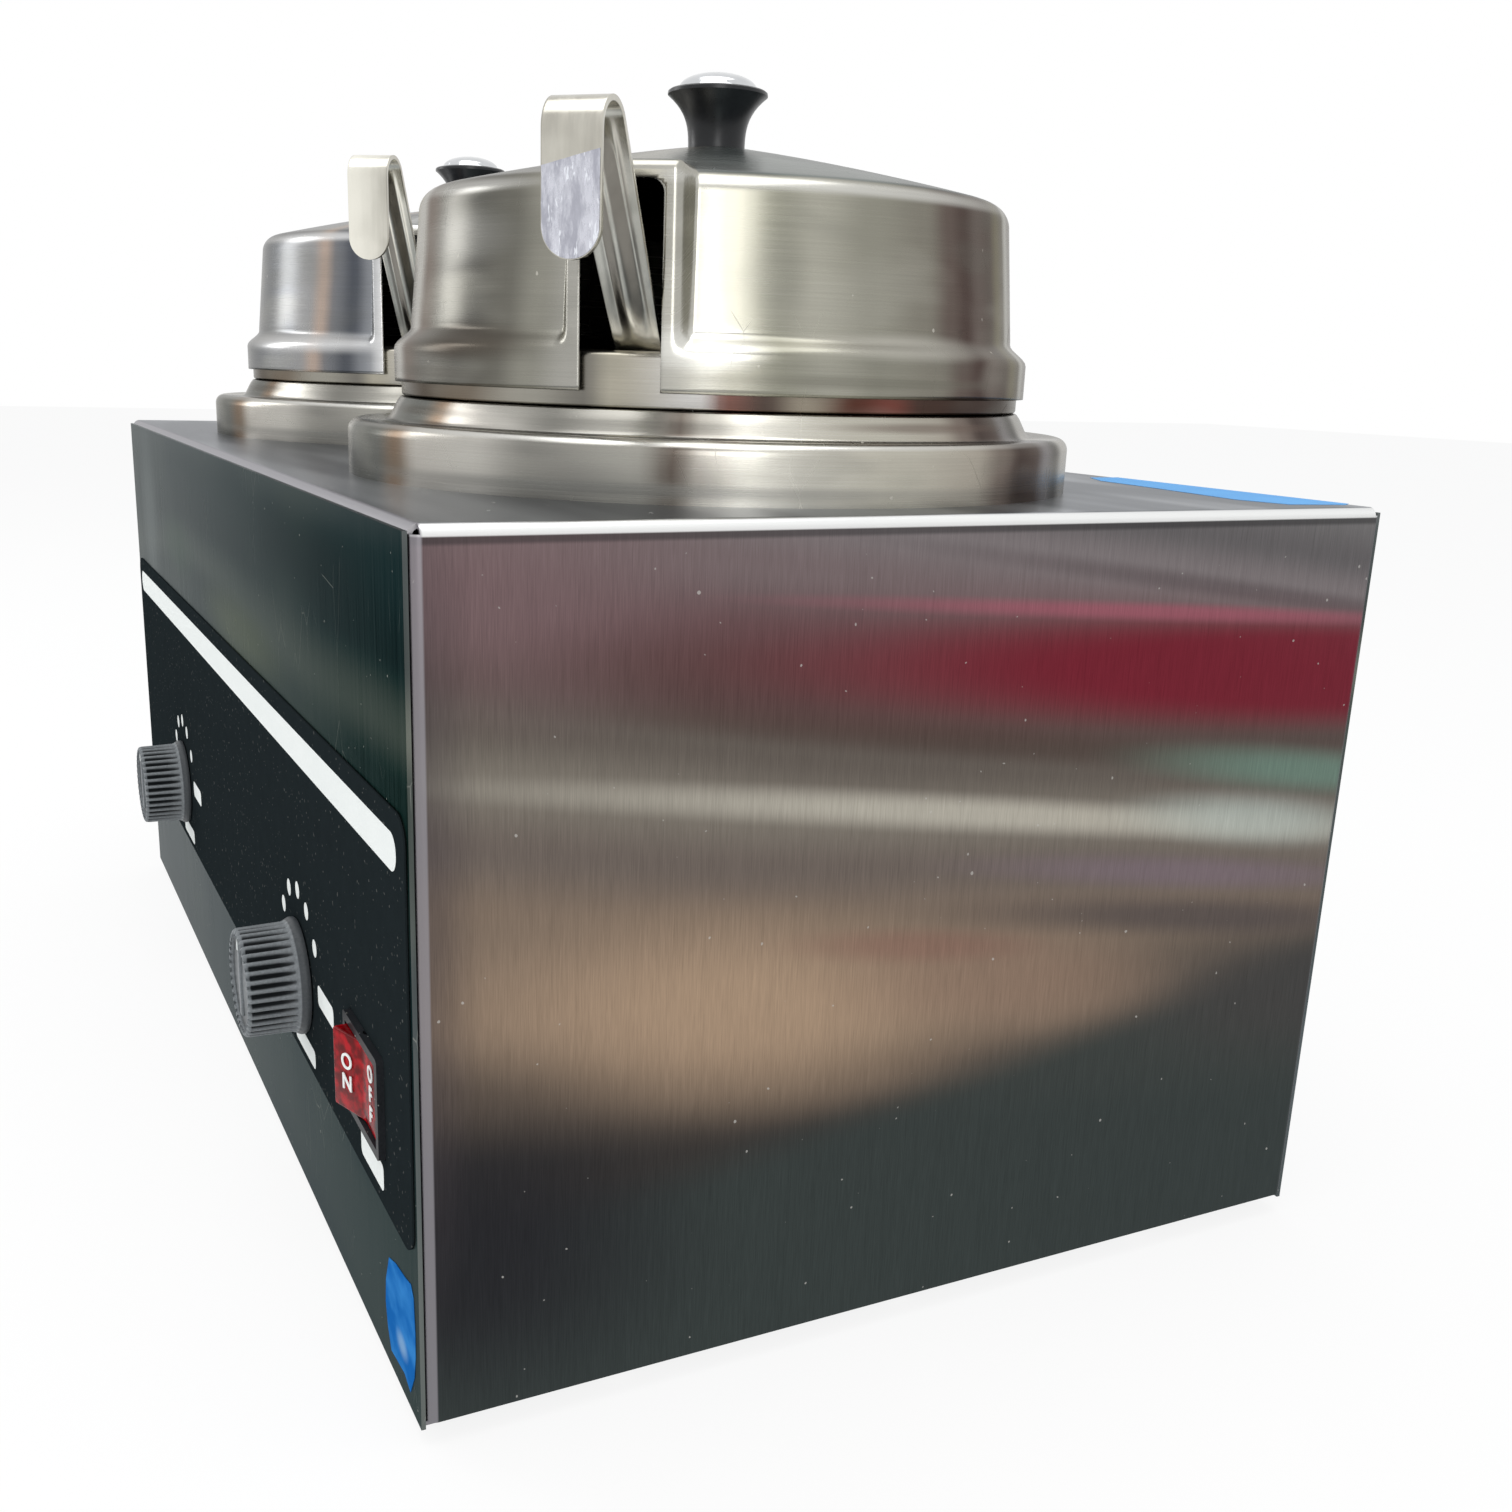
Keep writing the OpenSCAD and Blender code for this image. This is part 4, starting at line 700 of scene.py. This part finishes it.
def rounded(w, h, r, steps=6):
    """The outline of a rectangle with round corners about the origin."""
    points = []
    for cx, cy, start in ((1, 1, 0), (-1, 1, 90), (-1, -1, 180), (1, -1, 270)):
        points += arc(cx * (w / 2 - r), cy * (h / 2 - r), r, start, start + 90, steps)
    return points


# %% [markdown]
# ## Collars and insets
# A collar is pressed from one sheet: a straight wall, a soft shoulder, a narrow shelf and a neck
# that leans in to its lip. An inset hangs from that lip by the step under its band.

# %% Collars and insets
COLLAR = (
    [(94.9, 0), (94.9, 6)] + arc(91.9, 10.5, 3, 0, 90, 8)
    + [(88.5, 13.45)] + arc(85.9, 15.4, 2.1, 270, 205, 5) + [(83.1, 16.2), (82.2, 17.9)]
    + arc(80.9, 18.3, 0.8, 20, 90, 4) + [(79.2, 19.1), (79.2, 18.1), (80.6, 18), (82, 15.4)]
    + [(83.2, 13.6), (85.5, 12.5), (91.2, 12.4)] + arc(91.6, 10.2, 2.3, 80, 0, 5)
    + [(93.9, 6), (93.9, 0)]
)
INSET = (
    [(0, -146.4)] + arc(69.4, -137.4, 9, 270, 360, 8) + [(78.4, 19), (78.6, 19.4), (80.6, 19.4)]
    + arc(80.4, 20, 0.6, 280, 360, 3) + [(81, 24.5)] + arc(79.1, 29.7, 1.9, 0, 270, 20)
    + [(80.2, 27.8), (80.2, 20.2), (77.6, 20.2), (77.6, -137.4)] + arc(69.4, -137.4, 8.2, 0, -90, 8)
    + [(0, -145.6)]
)
for side, centre in UNIT.items():
    piece("collar_ring_" + side, lathe(COLLAR, 240), collar_steel[side], "base", centre,
          ["collar_" + side])
    piece("inset_pot_" + side, lathe(INSET, 240), inner_steel[side], side + "_inset", centre,
          ["inset_" + side])

# %% [markdown]
# ## Lids
# A lid is a domed shell. Round its ladle notch the sheet keeps the radius of the flange, so the
# notch has a raised border that melts into the wall. Two profiles with the same number of points
# are drawn: the plain wall and the border. The plain one is spun, in small steps near the notch,
# and each point then slides towards its partner on the border, the more the nearer it is.

# %% Lid profiles
LID_R = 82.7  # outer radius of the flange
LID_Z = 22.8  # height of its lower edge over the casing
NOTCH_W, NOTCH_H, NOTCH_R = 18.6, 43.7, 3  # the hole: width, height and corner radius
BORDER, MELT = 3, 4  # the raised border, and the strip in which it melts into the wall
NOTCH_TURN = {"right": -40, "left": -32}  # degrees from X
HALF = 0.4  # half of the sheet, because the wall is added on both sides


def soft(t):
    return t * t * (3 - 2 * t)


def dome(r):
    """Height of the lid top at a distance from the axis."""
    t = (71.68 - r) / 63.68
    return 46.25 + 12.95 * t + 2.58 * t * (1 - t)


flange = [(LID_R, z) for z in (0, 1.2, 2.6, 4.2, 5.8, 7.2)]
flare = [(LID_R - 4.4 * soft(min(1, t * 1.12)), 8.1 + 5.9 * t)
         for t in (0, 0.12, 0.25, 0.38, 0.5, 0.63, 0.76, 0.9)]
wall = [(78.3 - 2.5 * t, 14 + 27 * t) for t in [i / 18 for i in range(18)]]
shoulder = arc(70.4, 41, 5.4, 0, 76.3, 9)
crown = [(r, dome(r)) for r in (69.6, 67.4, 65.2, 63, 58, 52, 45, 37, 29, 21, 14, 8, 2.2)]
plain = flange + flare + wall + shoulder + crown
steep = len(flange + flare + wall)
heights = [z for _, z in flange + flare] + [14 + 25.6 * i / 12 for i in range(12)]
heights += [40.7, 41.45, 42.2, 42.95, 43.7, 44.4]
roof_line = arc(LID_R - 2.2, 45.1, 2.2, 0, 90, 5) + [(78.6, 47.35), (76.2, 47.5), (73.6, 47.65)]
roof_line += [(71.4, 47.8), (69, 47.95), (66.8, 48.1), (64.9, 48.3)]
border = [(LID_R, z) for z in heights] + roof_line + crown[3:]
assert len(plain) == len(border)

# %% [markdown]
# The hole is made by taking out the faces inside its outline. The points on its rim are then drawn
# onto a rectangle with round corners, which a grid of small faces can't follow by itself.

# %% Lid mesh
def polar(r, turn, z):
    return r * cos(turn), r * sin(turn), z


def hole_gap(across, z):
    """Distance of a point outside the notch outline, less than zero inside it."""
    w, h, r = NOTCH_W / 2, NOTCH_H, NOTCH_R
    dx, dz = max(across - (w - r), 0), max(z - (h - r), 0)
    return hypot(dx, dz) - r if dx and dz else max(across - w, z - h)


def lid_shell():
    step = degrees(asin(NOTCH_W / 2 / LID_R)) / 15
    count = 44
    line = [(r - HALF, z) for r, z in plain]
    shell = lathe(line, count * 2, False, -step * count, step * count * 2)
    rest = lathe(line, 200, False, step * count, 360 - step * count * 2)
    data = bpy.data.meshes.new("rest")
    rest.to_mesh(data)
    rest.free()
    shell.from_mesh(data)
    bmesh.ops.remove_doubles(shell, verts=shell.verts, dist=0.001)
    rows = {v: min(range(len(plain)), key=lambda k: abs(plain[k][0] - HALF - hypot(v.co.x, v.co.y))
                   + abs(plain[k][1] - v.co.z)) for v in shell.verts}
    spots = {}
    for v in shell.verts:
        k, turn = rows[v], atan2(v.co.y, v.co.x)
        across = abs(LID_R * sin(turn)) if v.co.x > 0 else LID_R
        near = 1 - soft(min(1, max(0, (across - NOTCH_W / 2 - BORDER + 0.6) / MELT)))
        r, z = (a + (b - a) * near for a, b in zip(plain[k], border[k]))
        spots[v] = (across, z)
        v.co = polar(r - HALF, turn, z)
    gone = []
    for f in shell.faces:
        if all(rows[v] <= steep + 2 and v.co.x > 0 for v in f.verts):
            across, z = (sum(spots[v][i] for v in f.verts) / len(f.verts) for i in range(2))
            if hole_gap(across, z) < 0:
                gone.append(f)
    bmesh.ops.delete(shell, geom=gone, context="FACES")
    for v in shell.verts:
        across, z = spots[v]
        if v.is_boundary and v.co.x > 0 and across < NOTCH_W / 2 + 1.2 and 0.01 < z < NOTCH_H + 1:
            w, h, r = NOTCH_W / 2, NOTCH_H, NOTCH_R
            dx, dz = across - (w - r), z - (h - r)
            if dx > 0 and dz > 0:
                scale = r / hypot(dx, dz)
                across, z = w - r + dx * scale, h - r + dz * scale
            elif dz > dx:
                z = h
            else:
                across = w
            turn = copysign(asin(across / LID_R), v.co.y)
            v.co = polar(LID_R - HALF, turn, z)
    return shell


for side, centre in UNIT.items():
    place = centre @ moved(0, 0, LID_Z) @ turned(NOTCH_TURN[side])
    piece("lid_shell_" + side, lid_shell(), lid_steel[side], side + "_lid", place,
          ["lid_" + side], sharp=50, wall=HALF * 2)

# %% [markdown]
# ## Lid knobs
# A black trumpet with a bright domed cap. Both are turned shapes, so both are spun.

# %% Lid knobs
trumpet = [(7.3, 0), (7.35, 0.8)]
trumpet += [(7.3 + 5.5 * (i / 12) ** 3.1, 13.2 * i / 12) for i in range(1, 13)]
trumpet += [(12.8, 13.5), (12.7, 14), (12.2, 14.35), (11, 14.4), (2, 14.4), (2, 0)]
rise = [radians(a) for a in range(4, 90, 7)]
cap = [(2, 14.4), (10.1, 14.4), (10.2, 14.7)]
cap += [(10 * cos(a), 14.75 + 3.8 * sin(a)) for a in rise] + [(0, 18.55), (0, 14.4)]
for side, centre in UNIT.items():
    place = centre @ moved(0, 0, LID_Z + 59.2)
    piece("knob_trumpet_" + side, lathe(trumpet, 96), knob_black, side + "_lid", place,
          ["lid_knob_" + side])
    piece("knob_dome_" + side, lathe(cap, 96), chrome, side + "_lid", place,
          ["knob_cap_" + side])

# %% [markdown]
# ## Ladles
# The handle is a steel strap with a pressed rib, bent over into a hook with a round tip. It starts
# as a flat grid: one direction runs along the strap, the other across it. Each point is then
# carried to its place on the bent strap, and lifted where the rib is.

# %% Ladles
LEAN = {"right": 32, "left": 28.5}  # degrees from upright
LADLE_TURN = {"right": -44.4, "left": -37.4}  # degrees from X
HANDLE, SHEET, HOOK_R, LEG, BOWL_R = 247, 1.2, 6.6, 24, 23
FOOT_HALF, RIM_HALF, TIP_HALF = 4.59, 5.4, 6.3  # half widths at the bowl, the rim and the hook
RIM_R, RIM_Z, ASIDE = 79.1, 29.7, 8.5  # where the handle rests on the rim of its inset
STAND_OFF, BOWL_AXIS, BOWL_DEEP = 2.2, 23.6, 151.95  # off the rim, off the bowl, and down to it
ALONG = 150


def ladle_place(side):
    rim_s = sqrt(RIM_R ** 2 - (ASIDE + TIP_HALF) ** 2)
    return (UNIT[side] @ turned(LADLE_TURN[side]) @ moved(rim_s, ASIDE, RIM_Z)
            @ turned(LEAN[side] - 90, "Y") @ moved(0, 0, STAND_OFF) @ Matrix.Diagonal((1, 1, -1, 1)))


def ladle_lengths(side):
    """The handle below the rim, the handle above it, and the turn of the hook in radians."""
    lean = radians(LEAN[side])
    below = (BOWL_DEEP + (STAND_OFF + BOWL_AXIS) * sin(lean)) / cos(lean)
    return below, HANDLE - below, pi - lean


def strap_point(s, across, below, above, bend, lift):
    """A point of the middle sheet: s runs from the bowl, across from one edge to the other."""
    radius = HOOK_R - SHEET / 2
    if s <= HANDLE:
        return Vector((s - below, across, -SHEET / 2 + lift))
    turn = min((s - HANDLE) / radius, bend)
    spot = Vector((above + radius * sin(turn), 0, HOOK_R - SHEET - radius * cos(turn)))
    rest = s - HANDLE - radius * bend
    if rest > 0:
        spot += Vector((cos(bend), 0, sin(bend))) * rest
    return spot + Vector((-sin(turn) * lift, across, cos(turn) * lift))


def strap(side):
    below, above, bend = ladle_lengths(side)
    total = HANDLE + (HOOK_R - SHEET / 2) * bend + LEG
    marks = [HANDLE * i / 60 for i in range(60)]
    marks += [HANDLE + (total - TIP_HALF - HANDLE) * i / 50 for i in range(50)]
    marks += [total - TIP_HALF * cos(pi / 2 * i / 40) for i in range(41)]
    mesh = bmesh.new()
    bmesh.ops.create_grid(mesh, x_segments=ALONG, y_segments=28, size=1)
    for v in mesh.verts:
        s, t = marks[round((v.co.x + 1) / 2 * ALONG)], v.co.y
        if s < below:
            half = FOOT_HALF + (RIM_HALF - FOOT_HALF) * s / below
        else:
            half = RIM_HALF + (TIP_HALF - RIM_HALF) * min(1, (s - below) / above)
        if s > total - TIP_HALF:
            half = sqrt(max(TIP_HALF ** 2 - (s - total + TIP_HALF) ** 2, 0.02))
        half *= 1 if s > 3 else 0.9
        fade = soft(min(1, max(0, (s - below - 4) / 6))) * soft(min(1, max(0, (HANDLE - 1 - s) / 5)))
        y = t * half
        rib = soft(max(0, 1 - abs(y) / 2.9)) * 1.3 - 0.25 * soft(max(0, 1 - abs(abs(y) - 3.3) / 1.2))
        v.co = strap_point(s, y, below, above, bend, rib * fade)
    return mesh, below


def bowl(below):
    mesh = bmesh.new()
    bmesh.ops.create_uvsphere(mesh, u_segments=64, v_segments=40, radius=BOWL_R - SHEET / 2)
    top = [v for v in mesh.verts if v.co.z > 0.01]
    bmesh.ops.delete(mesh, geom=top, context="VERTS")
    edge = [e for e in mesh.edges if e.is_boundary]
    push(mesh, bmesh.ops.extrude_edge_only(mesh, edges=edge), (0, 0, 5))
    bmesh.ops.transform(mesh, verts=mesh.verts, matrix=moved(-below, 0, -BOWL_AXIS) @ turned(90, "Y"))
    return mesh


for side in UNIT:
    mesh, below = strap(side)
    body = side + "_ladle"
    piece("ladle_strap_" + side, mesh, ladle_steel, body, ladle_place(side), ["ladle_" + side],
          sharp=60, wall=SHEET, bevel=0.2)
    piece("ladle_bowl_" + side, bowl(below), ladle_steel, body, ladle_place(side), (),
          sharp=60, wall=SHEET)

# %% [markdown]
# ## Dial knobs
# A moulded knob: a thin skirt, and a grip with 36 rounded flutes. The round blank is spun with ten
# steps to a flute, and the points of the grip are then drawn in where the grooves are.

# %% Dial knobs
DIAL_X, DIAL_Z = {"right": 103, "left": -103}, 67.5
FLUTES, FLUTE_DEPTH, GRIP_Z, GRIP_R = 36, 1.5, 3.6, 13  # the grooves, and where the grip begins


def on_dial(side):
    return moved(DIAL_X[side], FRONT, DIAL_Z) @ turned(90, "X")


def dial_blank():
    line = [(3, 6.3), (11, 6.3), (11, 0.8), (15.3, 0.8), (15.5, 1.1), (15.5, 2), (15.3, 2.5)]
    line += [(14.75, 3.4), (14.5, 4.2), (14.4, 8), (14.3, 12), (14.25, 15.2), (14.1, 15.9)]
    line += [(13.7, 16.3), (13.2, 16.45), (12.8, 16.3), (12.5, 15.6), (11.9, 15.4), (6, 15.5)]
    line += [(3, 15.5)]
    mesh = lathe(line, 360)
    for v in mesh.verts:
        reach = hypot(v.co.x, v.co.y)
        if reach > GRIP_R and v.co.z > GRIP_Z:
            turn = atan2(v.co.y, v.co.x)
            groove = 0.5 - 0.5 * cos(FLUTES * turn)
            depth = FLUTE_DEPTH * groove ** 1.6 * soft(min(1, (v.co.z - GRIP_Z) / 1.2))
            v.co.x, v.co.y = v.co.x * (1 - depth / reach), v.co.y * (1 - depth / reach)
    return mesh


HUB = [(3.05, 5), (5.5, 5), (5.5, 15.5), (0, 15.6), (0, 13.2), (3.05, 13.2)]
POINTER = [(-1.1, -9), (1.1, -9), (0.8, 12.2), (-0.8, 12.2)]
INDEX = [(-0.45, 9.2), (0.45, 9.2), (0.45, 12.1), (-0.45, 12.1)]
for side in UNIT:
    body, place = side + "_dial", on_dial(side)
    piece("dial_grip_" + side, dial_blank(), dial_grey, body, place, ["dial_knob_" + side],
          sharp=48)
    piece("dial_hub_" + side, lathe(HUB, 48), dial_grey, body, place, ())
    piece("dial_pointer_" + side, slab(POINTER, 0.9, 15.3), dial_grey, body, place, (),
          bevel=0.3)
    piece("dial_index_" + side, slab(INDEX, 0.3, 16.05), print_white, body, place, ())

# %% [markdown]
# ## The printed film
# A black film carries the white print: a long stripe, five dots round each dial, and small plain
# tabs. Each print is a very thin plate on the film, so that its edge stays crisp at any distance.

# %% White print
PRINT_Y = FRONT - 0.4  # the face of the film
DOT_R, DOT_RING = 2.3, 23.5  # a dot, and the circle round the dial on which the dots lie


def print_on(name, points, x, z):
    place = moved(x, PRINT_Y, z) @ turned(90, "X")
    piece(name, slab(points, 0.06, -0.02), print_white, "base", place, ())


print_on("stripe", rounded(406, 8.2, 4, 10), 0, 130.5)
dot = arc(0, 0, DOT_R, 0, 345, 23)
for side, x in DIAL_X.items():
    for count, turn in enumerate((-55, -28, 0, 26, 53)):
        a = radians(turn)
        print_on(f"dot_{side}_{count}", dot, x + DOT_RING * sin(a), DIAL_Z + DOT_RING * cos(a))
    print_on("high_tab_" + side, rounded(17, 5.6, 1.6), x + 29.4, 70.2)
    print_on("low_tab_" + side, rounded(24, 5.2, 1.6), x + 2.5, 48.8)
print_on("power_tab", rounded(20, 6.6, 1.6), 176, 50.8)

# %% [markdown]
# ## The rocker
# A red, see-through rocker whose two faces meet in a shallow valley. The raised words are type,
# made a mesh before it is placed. At rest the rocker leans to its off side.

# %% Rocker and its words
SWITCH = moved(173.2, FRONT, 68.5) @ turned(90, "X") @ moved(0, 0, -0.5) @ turned(9, "Y")
END_X, END_Z, VALLEY = 12.5, 3.8, 2.2  # half the length, the height of an end, the depth between


def rocker():
    line = [(-END_X, END_Z), (-0.9, 1.75), (0.9, 1.75), (END_X, END_Z), (12.15, -2.5), (-12.15, -2.5)]
    mesh = prism([(x, -9.6, z) for x, z in line], (0, 19.2, 0))
    sharp = [e for e in mesh.edges if e.calc_face_angle(0) > radians(30)]
    bmesh.ops.bevel(mesh, geom=sharp, offset=0.5, segments=3, affect="EDGES", profile=0.5, material=-1)
    return mesh


piece("rocker_cap", rocker(), red, "rocker", SWITCH, ["power_rocker"])


def word(name, text, x, y, lean):
    """Letters one above the other on a face of the rocker."""
    for count, letter in enumerate(text):
        curve = bpy.data.curves.new(name, "FONT")
        curve.body, curve.size, curve.align_x, curve.align_y = letter, 5.4, "CENTER", "CENTER"
        curve.extrude, curve.offset = 0.12, 0.06
        holder = linked(name, curve)
        bpy.context.view_layer.update()
        flat = bpy.data.meshes.new_from_object(holder)
        bpy.data.objects.remove(holder)
        mesh = bmesh.new()
        mesh.from_mesh(flat)
        drop = y - count * (4.9 if len(text) > 2 else 5.2)
        height = END_Z - (END_X - abs(x)) * VALLEY / END_X + 0.22
        place = SWITCH @ moved(x, drop, height) @ turned(lean, "Y")
        piece(f"{name}_{count}", mesh, print_white, "rocker", place, (), sharp=30)


word("word_on", "ON", -6.6, 2.7, 10)
word("word_off", "OFF", 6.6, 5, -10)

# %% [markdown]
# ## Left-over film
# New steel comes with a blue peel-off film. A torn piece is still on the front panel near the foot,
# another lies at the rear edge of the top, and a clear one on the near ladle's hook.

# %% Film remnants
torn = [(-10.4, 10.3), (-9.6, 12.2), (-4, 14), (4, 15.2), (8.3, 16.2), (10.2, 14), (11, 6),
        (10.9, 0.1), (9.6, -6), (6.1, -11.9), (1.5, -10.2), (-4, -10.9), (-9.6, -11.6), (-12.2, -7),
        (-13.6, -1.3), (-12.8, 5)]
near_foot = moved(197, FRONT - 0.01, 20) @ turned(90, "X")
piece("front_film", slab(torn, 0.1), blue, "base", near_foot, ())
strip = [(-42, -3), (-30, -9), (-12, -10.5), (8, -13), (30, -16), (44, -12), (47, 4), (45, 7.5), (-42, 7.5)]
piece("rear_film", slab(strip, 0.1), blue, "base", moved(158, 120.5, TOP), ())


def hook_film():
    """A skin on the outer face of the hook leg, from its tip up."""
    inner = 6.1  # half the width of the skin, a little less than the strap's
    below, above, bend = ladle_lengths("right")
    total = HANDLE + (HOOK_R - SHEET / 2) * bend + LEG
    mesh = bmesh.new()
    bmesh.ops.create_grid(mesh, x_segments=40, y_segments=16, size=1)
    for v in mesh.verts:
        s = total - 0.25 - inner * (1 - cos(pi / 2 * min(1, (1 - v.co.x) / 0.7)))
        s -= max(0, 0.3 - v.co.x) * 9.5 * (1 + 0.12 * v.co.y)
        half = sqrt(max(inner ** 2 - max(0, s - total + TIP_HALF) ** 2, 0.02))
        y = v.co.y * half
        wave = 0.06 * sin(s * 1.7 + y * 2.1) + 0.05 * sin(s * 0.9 - y * 3.3)
        v.co = strap_point(s, y, below, above, bend, -SHEET / 2 - 0.16 + wave)
    return mesh


piece("hook_film", hook_film(), clear, "right_ladle", ladle_place("right"), (), sharp=60)

# %% [markdown]
# ## The floor
# A wide pale sheet with nothing on it. It belongs to the stage and not to the object.

# %% Floor
ground = bmesh.new()
bmesh.ops.create_grid(ground, x_segments=8, y_segments=8, size=6)
data = bpy.data.meshes.new("floor")
ground.to_mesh(data)
ground.free()
floor = linked("floor", data)
pale_floor = Finish("pale_floor", Roughness=0.8, Specular_IOR_Level=0)
shade = pale_floor.noise(pale_floor.place(), 3, 2)
pale_floor.feed(Base_Color=pale_floor.mix(shade, (0.93, 0.93, 0.93, 1), (0.96, 0.96, 0.96, 1)))
tree = pale_floor.tree
WHITE_SHARE = 0.86  # the rest of what is seen is the matt floor, which keeps the shadow
glow = pale_floor.node("Emission", {}, {"Color": (1, 1, 1, 1), "Strength": 1})
share = Sock(pale_floor, seen_rays(tree)) * WHITE_SHARE
matt = Sock(pale_floor, pale_floor.shader.outputs[0])
blend = pale_floor.node("MixShader", {}, {0: share, 1: matt, 2: glow})
tree.links.new(blend.out, tree.nodes["Material Output"].inputs["Surface"])
data.materials.append(pale_floor.material)
